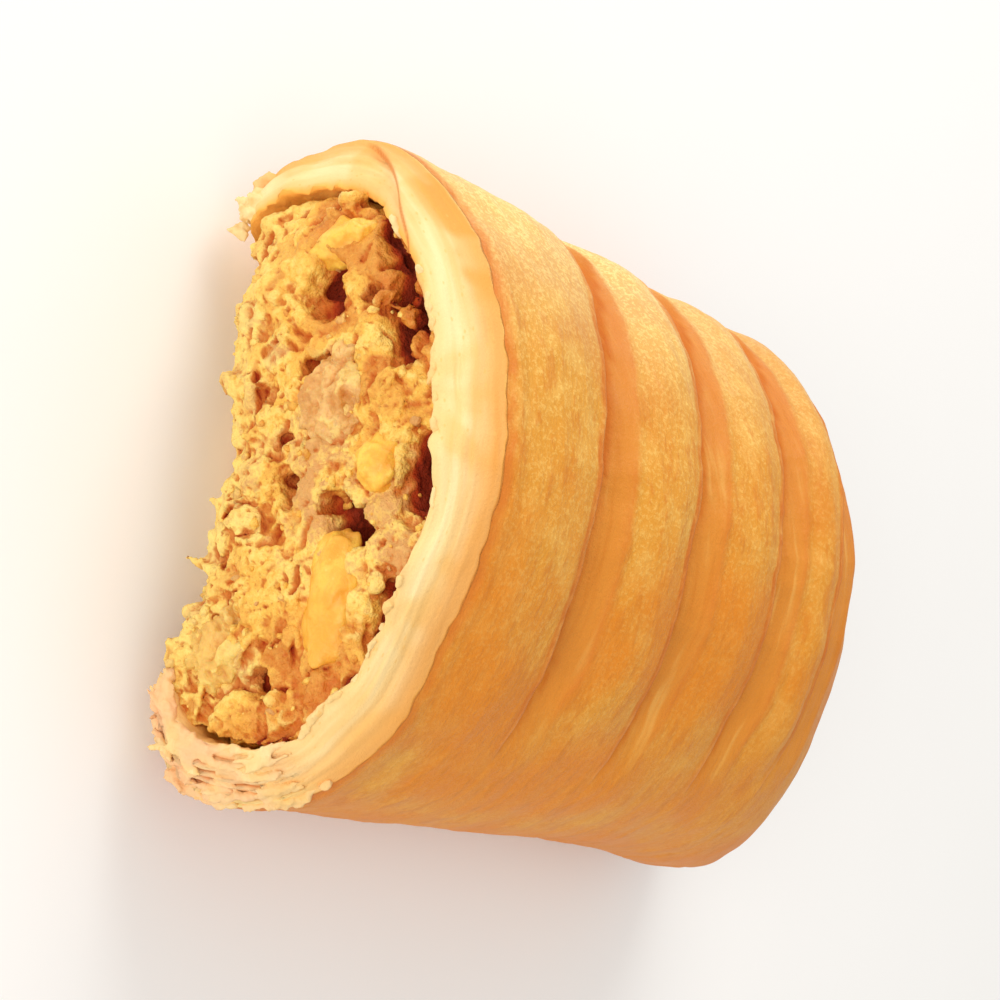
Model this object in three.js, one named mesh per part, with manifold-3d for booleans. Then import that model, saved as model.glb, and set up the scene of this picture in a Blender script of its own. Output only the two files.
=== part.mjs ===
// Savoury strudel broken in two: the half with the closed end, lying on its flat base.
// Millimetres. It lies along Y with the torn end at -Y, and Z is up from the base at Z = 0.
// "Station" is the distance from the torn end towards the closed end.
import * as THREE from 'three';
import { mergeVertices } from 'three/addons/utils/BufferGeometryUtils.js';
import { ImprovedNoise } from 'three/addons/math/ImprovedNoise.js';
import Module from 'manifold-3d';

// ---- Driving dimensions of the loaf ----
const WIDTH = 62;
const HEIGHT = 36.6;
const LENGTH = 90;
const END_LENGTH = 26; // length of the closed end, where the top comes down
const END_PLAN = 4.3; // how square the closed end is from above
const END_DROP = 1.65; // how round it is from the side
const SEAM_HEIGHT = 5; // the closed end's edge above the floor
const WIDEST = 0.37; // height of the widest line, as a share of the height
const TOP_ROUNDNESS = 1.87; // superellipse exponent of the section above that line
const SIDE_ROUNDNESS = 3; // and below it
const BASE_CUT = 0.8; // how far the rounded underside is flattened
const WAIST = 0.059; // narrowing towards the closed end
const SHOULDER = 0.062; // widening again at its corners
const SHOULDER_PLACE = 78; // station of the widest part of the corners
const SHOULDER_SPREAD = 12;
const RISE = 0.036; // the top rises a little towards the closed end

// ---- Slashes across the top ----
const LIPS = [20.6, 36.2, 51.3, 63.2]; // stations of the crisp far edges of the strips
const SLASH_DEPTH = 4.8;
const SLASH_WALL = 7; // length of the slope behind a lip, up to the next strip
const STRIP_SAG = 0.8; // a strip starts this much lower than its lip
const LIP_DROP = 0.5; // length of the step down behind a lip
const LIP_BOW = 5.1; // the ends of a lip lie further from the torn end than its middle
const LIP_SLANT = 2.5;
const SLASH_START = 32; // degrees round the section, from +X over the top
const SLASH_STOP = 168;
const SLASH_RUNOUT = 22; // degrees over which a slash fades out
const BOW_FROM = 8; // stations between which the rows take up the bow of the lips
const BOW_FULL = 20;
const WRINKLE_HEIGHT = 0.35;
const WRINKLE_LENGTH = 9;

// ---- Dough wall and hollow ----
const CAVITY_END = 81; // station where the hollow ends
const CAVITY_CAP = 12;
const WALL_UNDER_SLASHES = 3.8; // extra thickness of the top where it is slashed
const THICKENING_FROM = 9; // stations between which the top reaches that thickness
const THICKENING_TO = 22;
const RIM_BULGE = 0.9; // the torn dough is a little puffed
const BAKED_RAGGED = 0.8; // unevenness of the baked edge and of the torn edge
const TORN_RAGGED = 1.1;
const LAYER_RELIEF = 0.7; // layers stand out where the torn dough is this thick
const LAYERED_FROM = 5.6;
const LAYERED_FULL = 6.4;

// The torn rim, by angle round the section: station of the baked edge, station of the
// torn inner edge, and thickness of the dough.
const RIM = [
  { angle: -150, baked: 8, torn: 5, wall: 5 },
  { angle: -120, baked: 13, torn: 11, wall: 4.5 },
  { angle: -60, baked: 13, torn: 10, wall: 4.5 },
  { angle: -38, baked: 4.6, torn: 1.2, wall: 6.6 },
  { angle: -10, baked: 5.2, torn: 1.4, wall: 5.6 },
  { angle: 25, baked: 7.4, torn: 2.2, wall: 4.2 },
  { angle: 75, baked: 7.8, torn: 2.2, wall: 4.4 },
  { angle: 140, baked: 8.6, torn: 4, wall: 5.2 },
  { angle: 180, baked: 8.6, torn: 5.6, wall: 5.6 },
];

// ---- Filling ----
const GAP = 0.4; // between touching pieces
const END_GAP = 1.2; // between the filling and the hollow's far end
const FACE_STATION = 3.2; // the middle of the filling's torn face
const FACE_EDGE_DROP = 2.6; // its edge lies this much deeper
const FACE_HEIGHT = 17; // height of the middle of the face
const FACE_FRONT = 0.4; // nothing stands further out than this station
const CRAG_SIZE = 5.5;
const CRAG_HEIGHT = 2;
const CRUMB_SIZE = 2.4;
const CRUMB_HEIGHT = 1;
const SIDE_FREE = 5; // up to this station the filling's side stands clear of the dough
const SIDE_TOUCHES = 16; // and from here on it fills the hollow
const CLEAR_ABOVE = 0.9;
const CLEAR_BELOW = 2.6;
const CLEAR_CRUMBS = 0.8;

// Openings in the torn face, seen from the front: middle, radius and depth.
const PITS = [
  { x: -12.5, z: 27.5, across: 5.5, up: 2.2, depth: 6 },
  { x: -17, z: 25, across: 2.4, up: 2.2, depth: 4 },
  { x: 3.5, z: 30.2, across: 4, up: 1.5, depth: 4 },
  { x: 8, z: 27.6, across: 2, up: 1.6, depth: 4 },
  { x: 14.5, z: 27.6, across: 3.2, up: 1.3, depth: 5 },
  { x: 21.6, z: 15.6, across: 1.6, up: 2.4, depth: 4.5 },
  { x: -14, z: 18.5, across: 2.4, up: 2.6, depth: 3.5 },
];

// Larger pieces in the filling: middle, half sizes and turn about Y, in degrees.
const PIECES = [
  { name: 'cheese_strip', at: [13, -41.4, 22.3], half: [5.8, 2.4, 2.5], turn: 8, kind: 'cheese' },
  { name: 'cheese_lump', at: [2.4, -41.2, 26], half: [2.5, 2.4, 2.1], turn: 0, kind: 'cheese' },
  { name: 'cheese_end', at: [-19, -40, 17.8], half: [2.2, 2.4, 4.2], turn: -20, kind: 'cheese' },
  { name: 'vegetable_chunk', at: [-4, -40.8, 19.6], half: [4.6, 2.6, 4.2], turn: 15, kind: 'vegetable' },
  { name: 'vegetable_lump', at: [17.6, -41, 9.2], half: [3.5, 2.6, 3.2], turn: 30, kind: 'vegetable' },
];
const PIECE_SUNK = 0.2; // the filling reaches this share of a piece's depth past its middle

const MATERIALS = {
  crust: { color: 0xdf9a45, roughness: 0.55, metalness: 0 },
  filling: { color: 0xe2a94f, roughness: 0.7, metalness: 0 },
  cheese: { color: 0xeeb53f, roughness: 0.4, metalness: 0 },
  vegetable: { color: 0xdcb27a, roughness: 0.6, metalness: 0 },
};

const COLUMNS = 64; // vertices round the section
// Rings along the hollow, as shares of its depth, close together at its rounded end.
const HOLLOW_SHARES = [0.04, 0.11, 0.19, 0.27, 0.4, 0.6, 0.78, 0.84, 0.88, 0.92, 0.95, 0.975, 0.99, 1];
const noise = new ImprovedNoise();
const wasm = await Module();
wasm.setup();

const clamp = THREE.MathUtils.clamp;
const smooth = THREE.MathUtils.smoothstep;
const lerp = THREE.MathUtils.lerp;
const radians = THREE.MathUtils.degToRad;

// Noise that closes on itself round the section; more `turns` make it finer.
function roundNoise(angle, turns, place) {
  return noise.noise(turns * Math.cos(angle), turns * Math.sin(angle), place);
}

// ---- The loaf's plain outer form ----

function endShare(station) {
  return clamp((station - (LENGTH - END_LENGTH)) / END_LENGTH, 0, 1);
}

function halfWidth(station) {
  const shoulder = Math.exp(-(((station - SHOULDER_PLACE) / SHOULDER_SPREAD) ** 2));
  const plan = (1 - endShare(station) ** END_PLAN) ** (1 / END_PLAN);
  return WIDTH / 2 * plan * (1 - WAIST * station / LENGTH + SHOULDER * shoulder);
}

function underside(station) {
  return SEAM_HEIGHT * endShare(station) ** 3;
}

function crown(station) {
  const drop = (1 - endShare(station) ** END_DROP) ** (1 / END_DROP);
  const full = HEIGHT * (1 + RISE * station / LENGTH);
  return underside(station) + (full - underside(station)) * drop;
}

function widestHeight(station) {
  return underside(station) + WIDEST * (crown(station) - underside(station));
}

// Share of the half width reached at an angle round the section, -1 to 1.
function acrossShare(angle) {
  const exponent = Math.sin(angle) >= 0 ? TOP_ROUNDNESS : SIDE_ROUNDNESS;
  const cosine = Math.cos(angle);
  return Math.sign(cosine) * Math.abs(cosine) ** (2 / exponent);
}

function middle(station) {
  return new THREE.Vector3(0, station - LENGTH / 2, widestHeight(station));
}

function plainSkin(station, angle) {
  const sine = Math.sin(angle);
  const widest = widestHeight(station);
  const above = (crown(station) - widest) * Math.abs(sine) ** (2 / TOP_ROUNDNESS);
  const below = (widest - underside(station) + BASE_CUT) * Math.abs(sine) ** (2 / SIDE_ROUNDNESS);
  const height = sine >= 0 ? widest + above : Math.max(widest - below, underside(station));
  return new THREE.Vector3(halfWidth(station) * acrossShare(angle), station - LENGTH / 2, height);
}

// Moves a point towards the middle of its section.
function inward(point, station, distance) {
  const centre = middle(station);
  const reach = point.distanceTo(centre);
  return centre.lerp(point, reach > distance ? 1 - distance / reach : 0);
}

// ---- Slashes ----

// How far a row that belongs to `station` is pushed along the loaf at an angle.
function bow(station, angle) {
  const across = acrossShare(angle);
  const fade = smooth(station, BOW_FROM, BOW_FULL) * (1 - smooth(station, LIPS.at(-1), LENGTH));
  return fade * (LIP_BOW * across ** 2 - LIP_SLANT * across);
}

function slashShare(angle) {
  const degrees = THREE.MathUtils.radToDeg(angle);
  const start = smooth(degrees, SLASH_START, SLASH_START + SLASH_RUNOUT);
  return start * (1 - smooth(degrees, SLASH_STOP - SLASH_RUNOUT, SLASH_STOP));
}

// Depth below the lips at a station along the middle of the top.
function slashDepth(station) {
  const lip = LIPS.findLast((place) => station > place);
  const next = LIPS.find((place) => station <= place);
  if (lip === undefined) {
    return STRIP_SAG * clamp((next - station) / (next - RIM[0].baked), 0, 1);
  }
  const away = station - lip;
  if (away <= LIP_DROP) {
    return SLASH_DEPTH * away / LIP_DROP;
  }
  if (away <= SLASH_WALL) {
    const climb = (away - LIP_DROP) / (SLASH_WALL - LIP_DROP);
    return lerp(SLASH_DEPTH, STRIP_SAG, 1 - (1 - climb) ** 1.4);
  }
  return STRIP_SAG * (next ? (next - station) / (next - lip - SLASH_WALL) : 1 - endShare(station));
}

function bakedSkin(row, angle) {
  const station = row + bow(row, angle);
  const wrinkle = WRINKLE_HEIGHT * roundNoise(angle, 4, row / WRINKLE_LENGTH);
  const depth = slashDepth(row) * slashShare(angle) + wrinkle * (1 - endShare(station));
  const point = inward(plainSkin(station, angle), station, depth);
  point.z = Math.sin(angle) < -0.5 ? plainSkin(station, angle).z : point.z;
  return point;
}

// ---- Rim and hollow ----

// A value of RIM at any angle, eased between its entries.
function rimValue(key, angle) {
  const degrees = THREE.MathUtils.radToDeg(angle);
  const turn = degrees < RIM[0].angle ? degrees + 360 : degrees;
  const after = RIM.findIndex((entry) => entry.angle >= turn);
  const from = RIM.at(after - 1);
  const to = after < 0 ? RIM[0] : RIM[after];
  const span = THREE.MathUtils.euclideanModulo(to.angle - from.angle, 360) || 360;
  return lerp(from[key], to[key], smooth(turn - from.angle, 0, span));
}

function ragged(angle, reach, seed) {
  return reach * (roundNoise(angle, 5, seed) + 0.6 * roundNoise(angle, 14, seed));
}

function wall(station, angle) {
  const under = WALL_UNDER_SLASHES * slashShare(angle);
  return rimValue('wall', angle) + under * smooth(station, THICKENING_FROM, THICKENING_TO);
}

// A ring of the hollow that ends at `end`, with a gap left all round it.
function hollow(station, angle, gap, end) {
  const cap = clamp((station - (end - CAVITY_CAP)) / CAVITY_CAP, 0, 1);
  const share = (1 - cap ** 2.5) ** (1 / 2.5);
  const point = inward(plainSkin(station, angle), station, wall(station, angle) + gap);
  return middle(station).lerp(point, share);
}

function bakedEdge(angle) {
  return rimValue('baked', angle) + ragged(angle, BAKED_RAGGED, 3.1);
}

function tornEdge(angle) {
  return rimValue('torn', angle) + ragged(angle, TORN_RAGGED, 8.4);
}

// The torn dough between the baked edge (share 0) and the hollow (share 1), with its
// layers standing out towards the torn end where the dough is thickest.
function tornDough(share, angle) {
  const from = bakedSkin(bakedEdge(angle), angle);
  const to = hollow(tornEdge(angle), angle, 0, CAVITY_END);
  const point = from.lerp(to, share);
  const layered = smooth(rimValue('wall', angle), LAYERED_FROM, LAYERED_FULL);
  const relief = LAYER_RELIEF * layered * Math.cos(5 * Math.PI * share);
  point.y -= (RIM_BULGE + relief) * Math.sin(Math.PI * share);
  return point;
}

// ---- Meshes from a sphere whose rows and columns are put in place ----

// `place(row, angle)` gives the point; all of row 0 and all of the last row meet.
function shapedBall(columns, rows, place) {
  const geometry = new THREE.SphereGeometry(1, columns, rows);
  const position = geometry.getAttribute('position');
  for (let index = 0; index < position.count; index += 1) {
    const row = Math.floor(index / (columns + 1));
    const column = index % (columns + 1) % columns;
    const point = place(row, Math.PI - 2 * Math.PI * column / columns);
    position.setXYZ(index, point.x, point.y, point.z);
  }
  geometry.deleteAttribute('normal');
  geometry.deleteAttribute('uv');
  const merged = mergeVertices(geometry, 1e-4);
  merged.computeVertexNormals();
  return merged;
}

function node(name, geometry, kind) {
  const mesh = new THREE.Mesh(geometry, new THREE.MeshStandardMaterial(MATERIALS[kind]));
  mesh.name = name;
  return mesh;
}

function solidOf(geometry) {
  const vertProperties = new Float32Array(geometry.getAttribute('position').array);
  const triVerts = new Uint32Array(geometry.index.array);
  return new wasm.Manifold(new wasm.Mesh({ numProp: 3, vertProperties, triVerts }));
}

function geometryOf(solid) {
  const mesh = solid.getMesh();
  const geometry = new THREE.BufferGeometry();
  geometry.setAttribute('position', new THREE.BufferAttribute(mesh.vertProperties, 3));
  geometry.setIndex(new THREE.BufferAttribute(mesh.triVerts, 1));
  geometry.computeVertexNormals();
  return geometry;
}

// ---- Crust ----

// Rows of the outer skin, from the closed end to the first strip.
function skinRows() {
  const lastStrip = LIPS.at(-1) + SLASH_WALL;
  const endRows = 9;
  const rows = [];
  for (let index = 0; index < endRows; index += 1) {
    rows.push(LENGTH - (LENGTH - lastStrip) * (index / endRows) ** 1.9);
  }
  for (let strip = LIPS.length - 1; strip >= 0; strip -= 1) {
    const lip = LIPS[strip];
    const before = strip > 0 ? LIPS[strip - 1] + SLASH_WALL : RIM[0].baked + 3;
    rows.push(lip + SLASH_WALL, lip + 0.75 * SLASH_WALL, lip + 0.35 * SLASH_WALL);
    rows.push(lip + LIP_DROP, lip, lerp(lip, before, 0.2), lerp(lip, before, 0.6));
  }
  rows.push(RIM[0].baked + 3);
  return rows;
}

function crust() {
  const skin = skinRows();
  const rimShares = [0, 0.2, 0.4, 0.6, 0.8, 1];
  const total = skin.length + rimShares.length + HOLLOW_SHARES.length - 1;
  const geometry = shapedBall(COLUMNS, total, (row, angle) => {
    if (row < skin.length) {
      // The last rows slide back with the baked edge.
      const station = Math.max(skin[row], lerp(bakedEdge(angle) + 1, skin[row], 0.3));
      return bakedSkin(row === 0 ? LENGTH : station, angle);
    }
    if (row < skin.length + rimShares.length) {
      return tornDough(rimShares[row - skin.length], angle);
    }
    const share = HOLLOW_SHARES[row - skin.length - rimShares.length];
    return hollow(lerp(tornEdge(angle), CAVITY_END, share), angle, 0, CAVITY_END);
  });
  return node('crust', geometry, 'crust');
}

// ---- Filling ----

// Where the filling's torn face lies, in stations, at a place across it.
function faceStation(x, z, edgeShare) {
  const crag = CRAG_HEIGHT * noise.noise(x / CRAG_SIZE, z / CRAG_SIZE, 2.7);
  const crumb = CRUMB_HEIGHT * noise.noise(x / CRUMB_SIZE, z / CRUMB_SIZE, 6.3);
  let station = FACE_STATION + FACE_EDGE_DROP * edgeShare ** 3 + crag + crumb;
  for (const pit of PITS) {
    const away = Math.hypot((x - pit.x) / pit.across, (z - pit.z) / pit.up);
    station += pit.depth * (1 - smooth(away, 0.5, 1.3));
  }
  for (const { at, half } of PIECES) {
    const away = Math.hypot((x - at[0]) / half[0], (z - at[2]) / half[2]);
    const level = at[1] - PIECE_SUNK * half[1] + LENGTH / 2;
    station = lerp(level, station, smooth(away, 1.1, 2));
  }
  return Math.max(station, FACE_FRONT);
}

// The filling's side, drawn in from the dough near the torn end, most over the torn base.
function fillingSide(station, angle) {
  const point = hollow(station, angle, GAP, CAVITY_END - END_GAP);
  const ease = 1 - smooth(station, SIDE_FREE, SIDE_TOUCHES);
  const above = CLEAR_ABOVE * Math.max(0, Math.sin(angle));
  const below = CLEAR_BELOW * Math.max(0, -Math.sin(angle)) ** 2;
  const crumbs = CLEAR_CRUMBS * (0.5 + 0.5 * roundNoise(angle, 6, station / 4));
  return inward(point, station, ease * (above + below + crumbs));
}

function fillingBody() {
  const sideShares = [...HOLLOW_SHARES.toReversed(), 0];
  const faceShares = [0.95, 0.87, 0.78, 0.68, 0.58, 0.48, 0.38, 0.28, 0.19, 0.1, 0];
  const total = sideShares.length + faceShares.length - 1;
  const back = CAVITY_END - END_GAP;
  return shapedBall(COLUMNS - 8, total, (row, angle) => {
    const front = Math.max(tornEdge(angle), 3) + 1.2;
    if (row === 0) {
      return middle(back);
    }
    if (row < sideShares.length) {
      return fillingSide(lerp(front, back, sideShares[row]), angle);
    }
    const share = faceShares[row - sideShares.length];
    const edge = fillingSide(front, angle);
    const point = new THREE.Vector3(0, 0, FACE_HEIGHT).lerp(edge, share);
    const station = faceStation(point.x, point.z, share);
    const joined = lerp(station, Math.max(station, front - 0.5), smooth(share, 0.8, 1));
    point.y = joined - LENGTH / 2;
    return point;
  });
}

// A rounded, slightly lumpy piece; `grow` makes the pocket that it lies in.
function piece(description, grow) {
  const size = new THREE.Vector3(...description.half);
  const seed = description.name.length;
  const geometry = shapedBall(16, 10, (row, angle) => {
    const tilt = Math.PI * row / 10;
    const direction = new THREE.Vector3(
      Math.sin(tilt) * Math.cos(angle),
      Math.cos(tilt),
      Math.sin(tilt) * Math.sin(angle),
    );
    const lump = 1 + 0.16 * noise.noise(2.2 * direction.x + seed, 2.2 * direction.y, 2.2 * direction.z);
    return direction.multiply(size).multiplyScalar(lump).addScaledVector(direction, grow);
  });
  const mesh = node(description.name, geometry, description.kind);
  mesh.position.set(...description.at);
  mesh.rotation.y = radians(description.turn);
  mesh.updateMatrix();
  return mesh;
}

function filling() {
  let solid = solidOf(fillingBody());
  for (const description of PIECES) {
    const pocket = piece(description, GAP);
    solid = solid.subtract(solidOf(pocket.geometry.clone().applyMatrix4(pocket.matrix)));
  }
  // A crumb that a pocket has cut loose is dropped.
  const largest = solid.decompose().reduce((one, other) => (other.volume() > one.volume() ? other : one));
  return node('filling', geometryOf(largest), 'filling');
}

const strudel = new THREE.Group();
strudel.add(crust());
strudel.add(filling());
for (const description of PIECES) {
  strudel.add(piece(description, 0));
}

export default strudel;
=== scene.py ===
"""Dresses the broken half of a savoury strudel: baked crust, torn dough, filling and crumbs.

Lengths are in millimetres in the shape functions and in metres in Blender. The strudel lies
along Y with its torn end at -Y. "Station" is the distance from the torn end towards the closed
end, and "angle" goes round the section, with 0 at +X and a quarter turn at the top.
"""

import math
import random
from collections import namedtuple

import bmesh
import bpy
from mathutils import Euler, Matrix, Vector, noise
from mathutils.bvhtree import BVHTree
from mathutils.kdtree import KDTree


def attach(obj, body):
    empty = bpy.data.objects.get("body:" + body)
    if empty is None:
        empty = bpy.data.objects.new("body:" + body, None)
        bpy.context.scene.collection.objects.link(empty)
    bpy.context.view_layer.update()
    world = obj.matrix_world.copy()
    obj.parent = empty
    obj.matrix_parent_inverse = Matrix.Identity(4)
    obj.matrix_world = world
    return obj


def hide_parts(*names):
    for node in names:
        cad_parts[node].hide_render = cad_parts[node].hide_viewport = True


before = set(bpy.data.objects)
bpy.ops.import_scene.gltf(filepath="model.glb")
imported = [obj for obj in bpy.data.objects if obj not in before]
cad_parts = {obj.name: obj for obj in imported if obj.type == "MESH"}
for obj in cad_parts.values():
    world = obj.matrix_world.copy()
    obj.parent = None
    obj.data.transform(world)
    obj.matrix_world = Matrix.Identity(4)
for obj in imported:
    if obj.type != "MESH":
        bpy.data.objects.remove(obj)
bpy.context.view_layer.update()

# Noise vectors start from the time of day unless a seed is set.
noise.seed_set(41)

bl_info = {
    "name": "Broken savoury strudel",
    "version": (1, 0, 0),
    "blender": (4, 5, 0),
    "location": "3D View > Sidebar > Strudel",
    "description": "Makes the crust, the filling and the crumbs of a broken strudel half",
    "category": "Object",
}

MM = 0.001
TAU = 2 * math.pi

# ---- The loaf's form, the same as the frame's ----
WIDTH = 62.0
HEIGHT = 36.6
LENGTH = 90.0
END_LENGTH = 26.0
END_PLAN = 4.3
END_DROP = 1.65
SEAM_HEIGHT = 5.0
WIDEST = 0.37
TOP_ROUNDNESS = 1.87
SIDE_ROUNDNESS = 3.0
BASE_CUT = 0.8
WAIST = 0.059
SHOULDER = 0.062
SHOULDER_PLACE = 78.0
SHOULDER_SPREAD = 12.0
RISE = 0.036
LIPS = (20.6, 36.2, 51.3, 63.2)
STRIP_SAG = 0.8
LIP_BOW = 5.1
LIP_SLANT = 2.5
BOW_FROM = 8.0
BOW_FULL = 20.0
WRINKLE_LENGTH = 9.0
CAVITY_END = 81.0
CAVITY_CAP = 12.0
WALL_UNDER_SLASHES = 3.8
THICKENING_FROM = 9.0
THICKENING_TO = 22.0

# How finely the crust is made: columns round it, and rows on each stretch of it.
COLUMNS = 288
COLUMN_CROWD = 0.35
END_ROWS = 58
EDGE_ROWS = 24
TORN_ROWS = 52
GRAIN_RADIUS = 0.024

# Where each slash starts and stops round the section, in degrees, and how deep it is.
SLASHES = ((33, 169, 1.0), (31, 167, 0.95), (32, 167, 0.85), (36, 163, 0.7))
SLASH_RUNOUT = 22.0

# The torn rim: angle, station of the baked edge, station of the inner edge, thickness.
RIM = (
    (-150, 8.0, 5.0, 5.0),
    (-120, 13.0, 11.0, 4.5),
    (-60, 13.0, 10.0, 4.5),
    (-38, 4.6, 1.2, 6.6),
    (-10, 5.2, 1.4, 5.0),
    (25, 7.4, 2.2, 3.5),
    (55, 7.6, 2.2, 2.9),
    (78, 7.8, 2.2, 3.3),
    (105, 8.2, 3.0, 4.7),
    (140, 8.6, 4.0, 5.2),
    (180, 8.6, 5.6, 5.6),
)

# The rows of the hollow's wall, as shares of the way from its mouth to its end.
HOLLOW_SHARES = (
    0.004, 0.010, 0.017, 0.025, 0.034, 0.044, 0.055, 0.068, 0.083, 0.10, 0.12, 0.145,
    0.18, 0.24, 0.32, 0.45, 0.60, 0.75, 0.84, 0.90, 0.95, 0.98, 1.0,
)

# The crease across the top of the rim, in degrees: where it starts and how it slants.
FOLD_FROM = 178.0
FOLD_SLANT = 45.0

# A slash in section: even spacing where it has run out, place behind the lip, depth below
# the lip, how much of it is cut dough, and how much of it is the browned edge line. A line
# below zero is the pale crest of the lip, which is also painted lighter as a highlight.
SLASH_SECTION = (
    (-0.60, -0.60, 0.05, 0.0, -0.3),
    (-0.30, -0.28, 0.00, 0.0, -0.6),
    (-0.12, -0.06, 0.05, 0.1, -1.0),
    (0.00, 0.02, 0.30, 0.5, -1.0),
    (0.10, -0.16, 0.90, 0.9, -0.9),
    (0.20, -0.42, 1.80, 1.0, -0.4),
    (0.30, -0.56, 2.80, 1.0, 0.0),
    (0.42, -0.50, 3.80, 1.0, 0.0),
    (0.56, -0.14, 4.55, 1.0, 0.0),
    (0.80, 0.40, 4.80, 1.0, 0.0),
    (1.20, 1.10, 4.40, 1.0, 0.0),
    (1.70, 1.80, 3.85, 1.0, 0.0),
    (2.20, 2.50, 3.30, 1.0, 0.0),
    (2.80, 3.20, 2.80, 1.0, 0.0),
    (3.40, 3.90, 2.30, 1.0, 0.0),
    (4.00, 4.60, 1.82, 1.0, 0.0),
    (4.60, 5.20, 1.42, 1.0, 0.1),
    (5.20, 5.70, 1.10, 0.9, 0.25),
    (5.60, 6.05, 0.88, 0.6, 0.5),
    (6.00, 6.40, 0.76, 0.2, 0.3),
    (6.60, 6.90, 0.74, 0.0, 0.1),
)

# What the crust's material reads from each vertex. gap carries the painted shade under the slashes'
# lips, and deep the painted shade deep in the hollow.
CRUST_MARKS = ("torn", "share", "cut", "line", "gap", "layered", "deep")

# Flakes of torn dough: how many, the longest one low on the corner, then the ranges of angle
# in degrees, half sizes along the rim, outwards and across it, share of the rim, and how far
# out they lie.
FLAKES = (
    (130, 0.9, (-66, 14), (0.5, 2.4), (0.25, 0.65), (0.18, 0.3), (0.04, 0.98), (-0.35, 0.35)),
    (70, 1.1, (-95, 150), (0.3, 1.1), (0.25, 0.5), (0.25, 0.45), (0.95, 1.0), (-0.3, 0.1)),
    (60, 1.0, (-68, 12), (0.3, 1.0), (0.3, 0.5), (0.25, 0.5), (0.94, 1.0), (-0.5, 0.1)),
    (40, 1.1, (-50, 22), (0.4, 1.1), (0.3, 0.6), (0.3, 0.5), (0.0, 0.1), None),
)
LOW_ON_CORNER = math.radians(-48)
HANGING_SPURS = 24
BIT_VOXEL = 0.2

# ---- Filling, seen from the torn end ----
FACE_MIDDLE = Vector((0.0, 0.0, 17.0))
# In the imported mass, vertices past these places along Y aren't seen.
ROUGH_TO = -32.0
SEEN_TO = -30.0
# Behind this station the mass is squeezed while it is fused, so that its back has few faces.
SQUEEZE_FROM = 15.0
SQUEEZE = 0.07
SIDE_STATIONS = (
    79.8, 79.0, 76.0, 70.0, 50.0, 30.0, 20.0, 17.0, 15.0, 13.0, 11.0, 9.5, 8.0, 7.0,
)
FACE_ROWS = 40
SMALL_LUMPS = 110
LEAST_ISLAND = 400
CRUMBS = 140
# The filling's lower outline lies at this Y, and lumps that hang below it move this way.
OUTLINE_Y = -41.5
OUTLINE_LEAN = Vector((0.0, 0.57, 0.82))

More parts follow.
